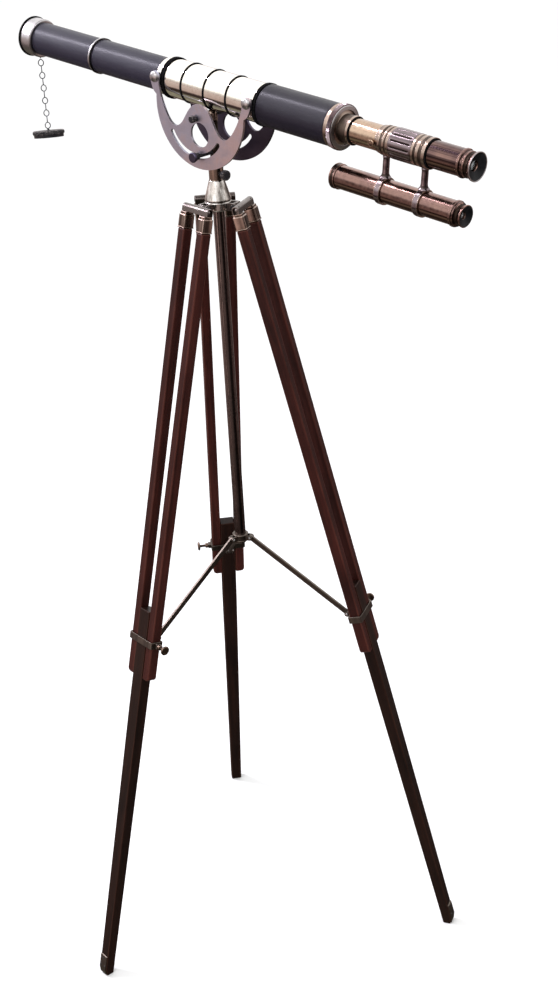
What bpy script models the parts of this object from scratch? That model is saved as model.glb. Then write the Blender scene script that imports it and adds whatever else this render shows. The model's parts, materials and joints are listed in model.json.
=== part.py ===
"""Refracting telescope on a folding wooden tripod, built in metres with +Z up.

The tripod stands on z = 0.  Leg frames hang from the hinge pins of the head,
the telescope frame sits on the tilt pivot between the two yoke plates.
"""
import math

import bmesh
import bpy
from mathutils import Matrix, Vector

for old in list(bpy.data.objects):
    bpy.data.objects.remove(old, do_unlink=True)

MM = 0.001

# ---------------------------------------------------------------- tripod
STAND_Y = 20.72 * MM                # tripod axis from the centre of the footprint
HINGE_Z = 1368.0 * MM               # height of the leg hinge pins
HINGE_R = 30.0 * MM                 # hinge pins from the tripod axis
SPLAY = math.radians(13.67)         # opening of each leg from the vertical
LEG_AZ = {"a": -150.0, "b": -30.0, "c": 90.0}
LEG_X = 13.3 * MM                   # leg centre plane outboard of the pin
RAIL_W = 16.4 * MM                  # rail width across the leg
RAIL_D = 18.4 * MM                  # rail depth
RAIL_PITCH_TOP = 49.0 * MM          # rail spacing at the ferrules
RAIL_PITCH_LOW = 43.6 * MM          # rail spacing at the lower leg
RAIL_TOP = -35.3 * MM
RAIL_END = -814.0 * MM
FERRULE_TOP = -8.3 * MM
FERRULE_END = -35.0 * MM
LOWER_W = 26.4 * MM                 # lower leg width between the rails
LOWER_D = 20.4 * MM                 # lower leg depth
LOWER_TOP = -690.0 * MM
TAPER_FROM = -880.0 * MM
TOE_W = 20.0 * MM
TOE_D = 18.0 * MM
BAND_Z = -746.0 * MM                # clamp band height on the leg
BAND_H = 12.0 * MM
BAND_T = 2.0 * MM
LUG_X = -24.0 * MM                  # brace pivot inboard of the leg plane
COLUMN_R = 9.5 * MM
COLUMN_TOP = 1361.5 * MM
COLUMN_END = 757.0 * MM
COLLAR_Z = 768.0 * MM
COLLAR_R = 14.0 * MM
COLLAR_H = 13.0 * MM
BRACE_R = 19.0 * MM                 # inner brace pivots from the axis
BRACE_W = 9.4 * MM
BRACE_T = 4.0 * MM

# ---------------------------------------------------------------- head
NECK_R = 12.0 * MM
NECK_TOP = 1434.0 * MM
CONE_TOP = 1410.0 * MM
CONE_R = 21.6 * MM
HUB_TOP = 1376.0 * MM
HUB_LOW = 1362.0 * MM
HUB_R = 22.0 * MM
LOCK_Z = 1421.0 * MM
LOCK_AZ = math.radians(-62.0)
PILLAR_R = 7.6 * MM

# ---------------------------------------------------------------- yoke
PIVOT_Z = 1515.5 * MM
AZIMUTH = math.radians(-52.6)       # eyepiece end, seen from above
TILT = math.radians(6.2)            # eyepiece end below the objective
TUBE_Z = 40.0 * MM                  # optical axis above the tilt pivot
PLATE_IN = 34.0 * MM
PLATE_T = 4.0 * MM
HORN_X = 100.5 * MM
HORN_Z = 47.0 * MM
HORN_R = 9.0 * MM
PLATE_X = 8.3 * MM                  # middle of the plates, from the pivot towards the eyepiece
PLATE_ARC_R = 96.0 * MM
PLATE_ARC_Z = 17.0 * MM
HOLE_R = 19.5 * MM
HOLE_X = 10.0 * MM
HOLE_Z = -24.5 * MM
SLOT_R = 59.5 * MM
SLOT_HALF = 4.0 * MM
SLOT_ANGLE = math.radians(57.5)

# ---------------------------------------------------------------- tube
CELL_FRONT = -434.5 * MM
CELL_BACK = -407.0 * MM
CHAIN_X = -418.3 * MM               # eye of the chain under the cell
SLEEVE_R = 30.7 * MM
REAR_END = 259.0 * MM
FINDER_Z = -35.5 * MM
DRAW_X = 7.0 * MM                   # draw tube drawn out by this much
TURN_SEGMENTS = 20                  # sides of the turned tube pieces

# ---------------------------------------------------------------- chain
LINKS = 10
LINK_PITCH = 11.9 * MM
LINK_LENGTH = 13.5 * MM
LINK_WIDTH = 9.4 * MM
LINK_WIRE = 0.75 * MM               # radius of the wire

COLOURS = {
    "brass": ((0.55, 0.36, 0.20), 0.28, 1.0),
    "bright": ((0.80, 0.76, 0.70), 0.22, 1.0),
    "bronze": ((0.34, 0.21, 0.14), 0.35, 1.0),
    "plate": ((0.55, 0.47, 0.48), 0.38, 1.0),
    "black": ((0.03, 0.03, 0.035), 0.35, 0.2),
    "leather": ((0.09, 0.085, 0.11), 0.45, 0.0),
    "wood": ((0.085, 0.022, 0.014), 0.35, 0.0),
    "dark_wood": ((0.035, 0.014, 0.009), 0.4, 0.0),
    "steel": ((0.20, 0.18, 0.15), 0.4, 1.0),
    "glass": ((0.55, 0.65, 0.70), 0.05, 0.0),
}


def material(kind):
    name = "mat_" + kind
    if name in bpy.data.materials:
        return bpy.data.materials[name]
    colour, rough, metal = COLOURS[kind]
    mat = bpy.data.materials.new(name)
    mat.use_nodes = True
    shader = mat.node_tree.nodes["Principled BSDF"]
    shader.inputs["Base Color"].default_value = (*colour, 1.0)
    shader.inputs["Roughness"].default_value = rough
    shader.inputs["Metallic"].default_value = metal
    return mat


def empty(name, parent, location=(0, 0, 0), rotation=(0, 0, 0)):
    ob = bpy.data.objects.new(name, None)
    bpy.context.scene.collection.objects.link(ob)
    ob.parent = parent
    ob.location = location
    ob.rotation_euler = rotation
    return ob


def place(name, data, kind, parent, location=(0, 0, 0), rotation=(0, 0, 0)):
    """Link one named piece; data is a bmesh or a mesh to share."""
    if isinstance(data, bmesh.types.BMesh):
        mesh = bpy.data.meshes.new(name)
        bmesh.ops.recalc_face_normals(data, faces=data.faces[:])
        data.to_mesh(mesh)
        data.free()
        for face in mesh.polygons:
            face.use_smooth = True
        mesh.set_sharp_from_angle(angle=math.radians(32))
        mat = material(kind).copy()
        mat.name = kind + "_" + name
        mesh.materials.append(mat)
    else:
        mesh = data
    ob = bpy.data.objects.new(name, mesh)
    bpy.context.scene.collection.objects.link(ob)
    ob.parent = parent
    ob.location = location
    ob.rotation_euler = rotation
    return ob


def spin(bm, profile, axis="X", segments=32, centre=(0, 0, 0)):
    """Turn a profile of (station, radius) about a local axis.

    A profile that starts and ends on the axis is closed by the axis itself,
    any other profile is a closed loop.
    """
    along = {"X": Vector((1, 0, 0)), "Y": Vector((0, 1, 0)), "Z": Vector((0, 0, 1))}[axis]
    out = Vector((0, 1, 0)) if axis == "X" else Vector((1, 0, 0))
    origin = Vector(centre)
    verts = [bm.verts.new(origin + along * s + out * r) for s, r in profile]
    closed = profile[0][1] > 1e-7
    edges = [bm.edges.new(pair) for pair in zip(verts, verts[1:])]
    if closed:
        edges.append(bm.edges.new((verts[-1], verts[0])))
    bmesh.ops.spin(
        bm, geom=verts + edges, cent=origin, axis=along, angle=2 * math.pi,
        steps=segments, use_merge=True, use_duplicate=False)
    bmesh.ops.remove_doubles(bm, verts=bm.verts[:], dist=1e-6)
    return bm


def turned(profile, axis="X", segments=32, centre=(0, 0, 0)):
    return spin(bmesh.new(), [(s * MM, r * MM) for s, r in profile], axis, segments, centre)


def pipe(start, end, inner, outer, chamfer):
    """Closed ring section in millimetres, edges on the outside chamfered."""
    return [(start, inner), (start, outer - chamfer), (start + chamfer, outer),
            (end - chamfer, outer), (end, outer - chamfer), (end, inner)]


def box(bm, low, high):
    size = [b - a for a, b in zip(low, high)]
    mid = [(a + b) / 2 for a, b in zip(low, high)]
    new = bmesh.ops.create_cube(bm, size=1.0)["verts"]
    for v in new:
        v.co = Vector((v.co[k] * size[k] + mid[k] for k in range(3)))
    return bm


def slab(bm, outline, axis, low, high):
    """Extrude a flat outline between two stations along an axis."""
    def point(u, v, w):
        return {"X": (w, u, v), "Y": (u, w, v), "Z": (u, v, w)}[axis]
    verts = [bm.verts.new(point(u, v, low)) for u, v in outline]
    face = bm.faces.new(verts)
    grown = bmesh.ops.extrude_face_region(bm, geom=[face])["geom"]
    shift = Vector(point(0, 0, high - low))
    moved = [g for g in grown if isinstance(g, bmesh.types.BMVert)]
    bmesh.ops.translate(bm, vec=shift, verts=moved)
    return bm


def arc(cx, cy, radius, start, end, count):
    """Points on a circle, angles in degrees."""
    step = (end - start) / (count - 1)
    angles = [math.radians(start + step * k) for k in range(count)]
    return [(cx + radius * math.cos(a), cy + radius * math.sin(a)) for a in angles]


def cylinder(bm, radius, low, high, axis="Z", segments=20, centre=(0, 0, 0)):
    return spin(bm, [(low, 0.0), (low, radius), (high, radius), (high, 0.0)], axis, segments, centre)


def cut(target, cutter_bm, name, operation="DIFFERENCE"):
    mesh = bpy.data.meshes.new(name)
    bmesh.ops.recalc_face_normals(cutter_bm, faces=cutter_bm.faces[:])
    cutter_bm.to_mesh(mesh)
    cutter_bm.free()
    ob = bpy.data.objects.new(name, mesh)
    bpy.context.scene.collection.objects.link(ob)
    ob.parent = target
    ob.hide_render = True
    ob.display_type = "WIRE"
    mod = target.modifiers.new(name, "BOOLEAN")
    mod.operation = operation
    mod.solver = "EXACT"
    mod.object = ob
    return ob


def gather(parts, turn=None):
    """Several closed shapes in one bmesh, optionally turned together."""
    total = bmesh.new()
    for part in parts:
        temp = bpy.data.meshes.new("shape")
        part.to_mesh(temp)
        part.free()
        total.from_mesh(temp)
    if turn is not None:
        bmesh.ops.transform(total, matrix=turn, verts=total.verts)
    return total


def fuse(target, cutter_bm, name):
    return cut(target, cutter_bm, name, "UNION")


def spin_z(degrees):
    return Matrix.Rotation(math.radians(degrees), 4, "Z")


root = empty("stand_axis", None, (0.0, STAND_Y, 0.0))


# ================================================================ head
def build_head():
    hub = [
        (HUB_LOW, 0.0), (HUB_LOW, HUB_R - 2 * MM), (HUB_LOW + 2 * MM, HUB_R),
        (HUB_TOP - 1 * MM, HUB_R), (HUB_TOP, CONE_R), (HUB_TOP + 2 * MM, CONE_R),
        (CONE_TOP - 1 * MM, NECK_R + 0.6 * MM), (CONE_TOP, NECK_R),
        (NECK_TOP - 1 * MM, NECK_R), (NECK_TOP, NECK_R - 1 * MM),
        (NECK_TOP, PILLAR_R + 0.3 * MM), (CONE_TOP - 8 * MM, PILLAR_R + 0.3 * MM),
        (CONE_TOP - 8 * MM, 0.0)]
    head = place("head_cone", spin(bmesh.new(), hub, "Z", 24), "bright", root)
    lugs = []
    holes = []
    for az in LEG_AZ.values():
        for side in (-1, 1):
            inner, outer = sorted((side * 6.5 * MM, side * 10.5 * MM))
            low = (12 * MM, inner, HINGE_Z - 6.0 * MM)
            high = (HINGE_R + 4 * MM, outer, HINGE_Z + 6.5 * MM)
            lugs.append(gather([box(bmesh.new(), low, high)], spin_z(az)))
        bore = cylinder(bmesh.new(), 3.2 * MM, -14 * MM, 14 * MM, "Y", 10, (HINGE_R, 0, HINGE_Z))
        holes.append(gather([bore], spin_z(az)))
    fuse(head, gather(lugs), "cut_head_lugs")
    cut(head, gather(holes), "cut_head_holes")

    pin = [(-14.6, 0), (-14.6, 5), (-10.8, 5), (-10.8, 2.9), (10.8, 2.9), (10.8, 5),
           (14.6, 5), (14.6, 0)]
    data = turned(pin, "Y", 10)
    for key, degrees in LEG_AZ.items():
        az = math.radians(degrees)
        spot = (HINGE_R * math.cos(az), HINGE_R * math.sin(az), HINGE_Z)
        data = place("hinge_pin_" + key, data, "black", root, spot, (0, 0, az)).data

    column = [(COLUMN_END, 0), (COLUMN_END, COLUMN_R - 1 * MM), (COLUMN_END + 1 * MM, COLUMN_R),
              (COLUMN_TOP, COLUMN_R), (COLUMN_TOP, 0)]
    place("centre_column", spin(bmesh.new(), column, "Z", 20), "steel", root)

    frame = empty("lock_axis", root, (0, 0, LOCK_Z), (0, 0, LOCK_AZ))
    knob = [(12.3, 0), (12.3, 3.2), (19.5, 3.2), (20.5, 6), (21.5, 8), (28, 8.3), (29.5, 7), (29.5, 0)]
    place("pan_lock_knob", turned(knob, "X", 16), "black", frame)


# ================================================================ legs
def build_t_bar():
    """Crossbar with a rounded nose about the hinge pin."""
    bm = bmesh.new()
    half = 33.5
    outline = [(6.3, -half + 3), (9.5, -half), (15.5, -half), (18.3, -half + 3), (18.3, half - 3),
               (15.5, half), (9.5, half), (6.3, half - 3), (6.3, 6.0)]
    outline += arc(0, 0, 6.0, 90, 270, 7)
    outline += [(6.3, -6.0)]
    outline = [(x * MM, y * MM) for x, y in outline]
    slab(bm, outline, "Z", -8.0 * MM, 5.0 * MM)
    return bm


def finish_leg_head(ob, key):
    """Bore the crossbar for its pin and fuse the two ferrules under it."""
    tenons = []
    caps = []
    w = RAIL_W / 2 + 1.0 * MM
    d = RAIL_D / 2 + 1.0 * MM
    for side in (-1, 1):
        y = side * RAIL_PITCH_TOP / 2
        low = (LEG_X - 4.2 * MM, y - 5.0 * MM, FERRULE_TOP - 6 * MM)
        high = (LEG_X + 4.2 * MM, y + 5.0 * MM, -4.0 * MM)
        tenons.append(box(bmesh.new(), low, high))
        low = (LEG_X - d, y - w, FERRULE_END)
        high = (LEG_X + d, y + w, FERRULE_TOP - 2.0 * MM)
        caps.append(box(bmesh.new(), low, high))
    fuse(ob, gather(tenons), "cut_tenons_" + key)
    fuse(ob, gather(caps), "cut_caps_" + key)
    cut(ob, cylinder(bmesh.new(), 3.2 * MM, -9 * MM, 9 * MM, "Y", 10), "cut_pin_" + key)


def build_rail(side):
    """One upper rail, converging slightly towards the lower leg."""
    shift = (RAIL_PITCH_TOP - RAIL_PITCH_LOW) / 2
    centre = RAIL_PITCH_LOW / 2
    inner = centre - RAIL_W / 2
    outer = centre + RAIL_W / 2
    r = 7.0 * MM
    shape = [(inner, LOWER_TOP), (inner + shift, RAIL_TOP), (outer + shift, RAIL_TOP), (outer, LOWER_TOP)]
    shape += arc(outer - r, RAIL_END + r, r, 0, -90, 5)
    shape += [(inner, RAIL_END)]
    bm = bmesh.new()
    slab(bm, [(side * y, z) for y, z in shape], "X", LEG_X - RAIL_D / 2, LEG_X + RAIL_D / 2)
    long_edges = [e for e in bm.edges if abs(e.verts[0].co.z - e.verts[1].co.z) > 0.1]
    bmesh.ops.bevel(bm, geom=long_edges, offset=1.6 * MM, segments=1, affect="EDGES", profile=0.5)
    return bm


def toe_z(x):
    """Leg-frame height of the floor under leg-frame station x."""
    return -(HINGE_Z + x * math.sin(SPLAY)) / math.cos(SPLAY)


def build_lower_leg():
    """Sliding lower member, tapered to a chamfered toe that stands flat."""
    bm = bmesh.new()
    back = LEG_X - LOWER_D / 2
    front = LEG_X + LOWER_D / 2
    toe_back = LEG_X - TOE_D / 2
    toe_front = LEG_X + TOE_D / 2
    toe_cut = 5.0 * MM
    side = [(back, LOWER_TOP), (front, LOWER_TOP), (front, TAPER_FROM),
            (toe_front, toe_z(toe_front) + 16 * MM), (toe_front - toe_cut, toe_z(toe_front - toe_cut)),
            (toe_back, toe_z(toe_back)), (back, TAPER_FROM)]
    slab(bm, side, "Y", -LOWER_W / 2, LOWER_W / 2)
    for v in bm.verts:
        if v.co.z < TAPER_FROM - 0.01:
            v.co.y *= TOE_W / LOWER_W
    return bm


def build_shoe():
    """Bent brass toe plate on the outer face."""
    bm = bmesh.new()
    x = LEG_X + TOE_D / 2 + 0.3 * MM
    knee = toe_z(LEG_X + TOE_D / 2) + 16 * MM
    low_x = x - 4.0 * MM
    low_z = toe_z(low_x) + 2.6 * MM
    t = 1.6 * MM
    outline = [(x, knee + 26 * MM), (x + t, knee + 25 * MM), (x + t, knee - 1.0 * MM),
               (low_x + t + 0.2 * MM, low_z), (low_x + 0.5 * MM, low_z + 0.2 * MM), (x, knee)]
    slab(bm, outline, "Y", -9.0 * MM, 9.0 * MM)
    return bm


def build_band():
    """Square strap round both rails."""
    bm = bmesh.new()
    y_in = RAIL_PITCH_LOW / 2 + RAIL_W / 2 + 0.3 * MM
    x_in = LOWER_D / 2 + 0.3 * MM
    y_out = y_in + BAND_T
    x_out = x_in + BAND_T
    rim = [(-x_out, -y_out), (x_out, -y_out), (x_out, y_out), (-x_out, y_out)]
    bore = [(-x_in, -y_in), (x_in, -y_in), (x_in, y_in), (-x_in, y_in)]
    low = BAND_Z - BAND_H / 2
    high = BAND_Z + BAND_H / 2
    rings = []
    for shape, z in ((rim, low), (rim, high), (bore, high), (bore, low)):
        rings.append([bm.verts.new((x + LEG_X, y, z)) for x, y in shape])
    for k in range(4):
        one = rings[k]
        two = rings[(k + 1) % 4]
        for j in range(4):
            bm.faces.new((one[j], one[(j + 1) % 4], two[(j + 1) % 4], two[j]))
    return bm


def finish_band(ob, key):
    """Brace lug on the inner face and screw boss on one side."""
    y_out = RAIL_PITCH_LOW / 2 + RAIL_W / 2 + 0.3 * MM + BAND_T
    lug_in = LEG_X - LOWER_D / 2 - 0.3 * MM - BAND_T / 2
    lug = [(lug_in, BAND_Z + 5.5 * MM), (LEG_X + LUG_X, BAND_Z + 4.7 * MM)]
    lug += arc(LEG_X + LUG_X, BAND_Z, 4.7 * MM, 110, 250, 6)
    lug += [(LEG_X + LUG_X, BAND_Z - 4.7 * MM), (lug_in, BAND_Z - 5.5 * MM)]
    ear = slab(bmesh.new(), lug, "Y", 3.6 * MM, 6.4 * MM)
    block = box(bmesh.new(), (LEG_X - 4.5 * MM, y_out - 1.0 * MM, BAND_Z - 4.5 * MM),
                (LEG_X + 4.5 * MM, y_out + 5.5 * MM, BAND_Z + 4.5 * MM))
    fuse(ob, gather([ear, block]), "cut_band_" + key)


def band_side():
    """Outer face of the screw boss across the leg."""
    return RAIL_PITCH_LOW / 2 + RAIL_W / 2 + 0.3 * MM + BAND_T + 5.5 * MM


def build_clamp_knob():
    """Thumb screw with a collar, a thin stem and a disc head."""
    knob = [(0.3, 0), (0.3, 4.4), (5.3, 4.4), (5.9, 2.6), (15.7, 2.6), (16.3, 7.9), (19.0, 8.2),
            (19.9, 7.4), (19.9, 0)]
    return turned(knob, "Y", 14)


def brace_ends():
    """Inner and outer brace pivots in the leg plane as (radius, height)."""
    x = LEG_X + LUG_X
    z = BAND_Z
    outer = (HINGE_R + x * math.cos(SPLAY) - z * math.sin(SPLAY),
             HINGE_Z + x * math.sin(SPLAY) + z * math.cos(SPLAY))
    return (BRACE_R, COLLAR_Z), outer


def build_brace(length):
    """Flat bar hanging along -Z from its inner pivot."""
    bm = bmesh.new()
    r = BRACE_W / 2
    outline = arc(0, 0, r, 0, 180, 5) + arc(0, -length, r, 180, 360, 5)
    slab(bm, outline, "Y", -BRACE_T / 2, BRACE_T / 2)
    return bm


def finish_brace(ob, key, length):
    """Rivet heads standing proud at both ends."""
    half = BRACE_T / 2 + 1.1 * MM
    heads = [cylinder(bmesh.new(), 3.0 * MM, -half, half, "Y", 8, (0, 0, z)) for z in (0.0, -length)]
    fuse(ob, gather(heads), "cut_brace_" + key)


def build_legs():
    """Three equal legs; copies share the mesh of the first."""
    inner, outer = brace_ends()
    length = math.hypot(outer[0] - inner[0], outer[1] - inner[1])
    lean = math.atan2(outer[0] - inner[0], inner[1] - outer[1])
    shared = {}
    for key, degrees in LEG_AZ.items():
        az = math.radians(degrees)
        spot = (HINGE_R * math.cos(az), HINGE_R * math.sin(az), HINGE_Z)
        frame = empty("leg_axis_" + key, root, spot, (0, -SPLAY, az))
        knob_spot = (LEG_X, band_side(), BAND_Z)
        spin_axis = empty("clamp_axis_" + key, frame, knob_spot)
        brace_spot = (BRACE_R * math.cos(az), BRACE_R * math.sin(az), COLLAR_Z)
        brace_axis = empty("brace_axis_" + key, root, brace_spot, (0, -lean, az))
        plan = [
            ("leg_head_", build_t_bar, "plate", frame),
            ("rail_left_", lambda: build_rail(1), "wood", frame),
            ("rail_right_", lambda: build_rail(-1), "wood", frame),
            ("lower_leg_", build_lower_leg, "dark_wood", frame),
            ("toe_plate_", build_shoe, "bronze", frame), ("clamp_band_", build_band, "steel", frame),
            ("clamp_knob_", build_clamp_knob, "bronze", spin_axis),
            ("brace_", lambda: build_brace(length), "steel", brace_axis)]
        made = {}
        for stem, make, kind, parent in plan:
            data = shared.get(stem) or make()
            made[stem] = place(stem + key, data, kind, parent)
            shared[stem] = made[stem].data
        finish_leg_head(made["leg_head_"], key)
        finish_band(made["clamp_band_"], key)
        finish_brace(made["brace_"], key, length)


def build_collar():
    """Collar sliding on the column, with a forked ear for each brace."""
    ring = [(COLLAR_Z - COLLAR_H / 2, COLUMN_R + 0.3 * MM), (COLLAR_Z - COLLAR_H / 2, COLLAR_R),
            (COLLAR_Z + COLLAR_H / 2, COLLAR_R), (COLLAR_Z + COLLAR_H / 2, COLUMN_R + 0.3 * MM)]
    collar = place("slide_collar", spin(bmesh.new(), ring, "Z", 20), "bronze", root)
    ears = []
    for az in LEG_AZ.values():
        for side in (-1, 1):
            inner, outer = sorted((side * 3.5 * MM, side * 6.0 * MM))
            low = (11.5 * MM, inner, COLLAR_Z - 4.6 * MM)
            high = (BRACE_R + 4.6 * MM, outer, COLLAR_Z + 4.6 * MM)
            ears.append(gather([box(bmesh.new(), low, high)], spin_z(az)))
    fuse(collar, gather(ears), "cut_collar_ears")


# ================================================================ yoke
def plate_outline():
    """Anchor-shaped plate about the tilt pivot, (x, z) in metres."""
    half = [(0, 23.5), (9, 22.0), (16, 18.0), (23, 11), (29, 2), (37, -10.5), (44, -17.5), (52, -20.5),
            (61, -18.5), (70, -10), (79, 4), (86, 19), (90.5, 33), (91.6, 42)]
    disc = arc(HORN_X / MM, HORN_Z / MM, HORN_R / MM, 190, 0, 8)
    low = arc(0, PLATE_ARC_Z / MM, PLATE_ARC_R / MM, 2, -90, 19)
    right = half[1:] + disc + [(108.5, 38), (103, 26)] + low
    left = [(-x, z) for x, z in reversed(right[:-1])]
    return [(x * MM + PLATE_X, z * MM) for x, z in [half[0]] + right + left]


def slot_outline():
    """Curved slot about the tilt pivot for the clamp bolt."""
    turn = math.degrees(SLOT_ANGLE)
    end = math.radians(-90 + turn)
    tip = (SLOT_R * math.cos(end), SLOT_R * math.sin(end))
    slot = arc(0, 0, SLOT_R + SLOT_HALF, -90 - turn, -90 + turn, 17)
    slot += arc(tip[0], tip[1], SLOT_HALF, -90 + turn, 90 + turn, 7)[1:-1]
    slot += arc(0, 0, SLOT_R - SLOT_HALF, -90 + turn, -90 - turn, 17)
    slot += arc(-tip[0], tip[1], SLOT_HALF, 90 - turn, 270 - turn, 7)[1:-1]
    return slot


def build_yoke(frame):
    """Two anchor plates; each carries two domed caps and the pads that hold the tube."""
    for name, side in (("yoke_plate_near", -1), ("yoke_plate_far", 1)):
        low, high = sorted((side * PLATE_IN, side * (PLATE_IN + PLATE_T)))
        bm = bmesh.new()
        slab(bm, plate_outline(), "Y", low, high)
        plate = place(name, bm, "plate", frame)
        bosses = []
        for x in (-HORN_X, HORN_X):
            inner = SLEEVE_R / MM + 0.3
            outer = (PLATE_IN + PLATE_T) / MM
            cap = [(inner, 0), (inner, 6.0), (outer - 1, 6.0), (outer - 1, 8.2), (outer + 2.5, 8.0),
                   (outer + 4.5, 5.5), (outer + 5.2, 0)]
            profile = [(side * s * MM, r * MM) for s, r in cap]
            bosses.append(spin(bmesh.new(), profile, "Y", 14, (PLATE_X + x, 0, HORN_Z)))
        fuse(plate, gather(bosses), "cut_caps_" + name)
        holes = [cylinder(bmesh.new(), HOLE_R, low - MM, high + MM, "Y", 24, (HOLE_X, 0, HOLE_Z)),
                 cylinder(bmesh.new(), 4.3 * MM, low - MM, high + MM, "Y", 16),
                 slab(bmesh.new(), slot_outline(), "Y", low - MM, high + MM)]
        cut(plate, gather(holes), "cut_" + name)


def build_mount():
    """Pillar that turns in the neck, with its two cross bolts."""
    pan = empty("pan_axis", root, (0, 0, PIVOT_Z), (0, 0, AZIMUTH))
    r = PILLAR_R
    foot = CONE_TOP - PIVOT_Z - 7.7 * MM
    prof = [(foot, 0), (foot, r), (NECK_TOP - PIVOT_Z + 0.4 * MM, r),
            (NECK_TOP - PIVOT_Z + 0.4 * MM, r + 2.4 * MM), (NECK_TOP - PIVOT_Z + 4 * MM, r + 2.4 * MM),
            (NECK_TOP - PIVOT_Z + 5 * MM, r)]
    prof += [(r * math.sin(a), r * math.cos(a)) for a in (0, 0.4, 0.8, 1.2)] + [(r, 0)]
    pillar = place("pillar", spin(bmesh.new(), prof, "Z", 20), "brass", pan)
    bores = [cylinder(bmesh.new(), 3.9 * MM, -12 * MM, 12 * MM, "Y", 16),
             cylinder(bmesh.new(), 3.7 * MM, -12 * MM, 12 * MM, "Y", 16, (0, 0, -SLOT_R))]
    cut(pillar, gather(bores), "cut_pillar_bores")

    face = (PLATE_IN + PLATE_T) / MM
    bolt = [(-face - 10, 0), (-face - 10, 5), (-face - 9, 5.8), (-face - 2.5, 5.8), (-face - 0.3, 5.0),
            (-face - 0.3, 3.6), (face + 0.3, 3.6), (face + 0.3, 6.5), (face + 4, 6.5), (face + 5, 5.5),
            (face + 5, 0)]
    place("pivot_bolt", turned(bolt, "Y", 14), "black", pan)
    clamp_axis = empty("tilt_clamp_axis", pan, (0, 0, -SLOT_R))
    bolt = [(-face - 13, 0), (-face - 13, 6.4), (-face - 12, 7.2), (-face - 6.5, 7.2), (-face - 6, 5.6),
            (-face - 0.3, 5.6), (-face - 0.3, 3.4), (face + 0.3, 3.4), (face + 0.3, 6.5), (face + 4, 6.5),
            (face + 5, 5.5), (face + 5, 0)]
    place("tilt_clamp_bolt", turned(bolt, "Y", 14), "black", clamp_axis)
    return empty("tilt_axis", pan, (0, 0, 0), (0, TILT, 0))


# ================================================================ telescope
def build_tube(tube):
    """Fixed pieces of the main tube, stations in millimetres from the pivot."""
    seg = TURN_SEGMENTS
    front = CELL_FRONT / MM
    back = CELL_BACK / MM
    cell = [(front, 28.6), (front, 32.2), (front + 1, 33), (front + 3.2, 33), (front + 4, 32),
            (front + 6, 31.6), (back - 1.5, 31.6), (back, 30.2), (back, 25.1), (back - 8, 25.1),
            (back - 8, 27.2), (front + 9, 27.2), (front + 9, 28.6)]
    holder = place("objective_cell", turned(cell, "X", seg), "bright", tube)
    eye = turned([(-36.2, 0), (-36.2, 1.6), (-30.5, 2.2), (-30.5, 0)], "Z", 10, (CHAIN_X, 0, 0))
    fuse(holder, eye, "cut_chain_eye")
    lens = [(front + 5.5, 0), (front + 6.2, 12), (front + 8.2, 26.9), (front + 11, 26.9), (front + 11, 0)]
    place("objective_lens", turned(lens, "X", seg), "glass", tube)

    sleeve = SLEEVE_R / MM
    barrel = [(back - 7.6, 23), (back - 7.6, 24.8), (-97, 24.8), (-97, 29.8),
              (-85.6, 29.8), (-85.6, 33.0), (-79.4, 33.0), (-79.4, sleeve)]
    for start in (-41.8, 7.8, 56.2):
        end = start + 2.2
        barrel += [(start, sleeve), (start, 31.8), (end, 31.8), (end, sleeve)]
    barrel += [(115.6, sleeve), (115.6, 33.4), (121.8, 33.4), (121.8, 29.9),
               (REAR_END / MM - 0.3, 29.9), (REAR_END / MM - 0.3, 28.2), (125, 28.2), (125, 23)]
    place("main_barrel", turned(barrel, "X", seg), "bright", tube)
    for name, start, end in (("front_leather", back + 0.3, -262.3), ("mid_leather", -255.9, -97.3)):
        place(name, turned(pipe(start, end, 25.1, 27.2, 0.5), "X", seg), "leather", tube)
    rear = pipe(122.1, REAR_END / MM - 0.3, 30.2, 32.3, 0.5)
    place("rear_leather", turned(rear, "X", seg), "leather", tube)
    band = pipe(-262.0, -256.2, 25.1, 29.4, 0.5)
    place("front_band", turned(band, "X", seg), "bright", tube)
    flange = [(259.3, 25), (259.3, 32.6), (260, 33.3), (266.5, 33.3), (267, 34.4), (273, 34.6), (274.2, 33.4),
              (274.2, 24), (275.2, 21.2), (293, 21.2), (293.4, 21.8), (296, 21.8), (296.4, 21.4), (296.4, 19.3),
              (262, 19.3), (262, 25)]
    place("rear_flange", turned(flange, "X", seg), "brass", tube)


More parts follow.
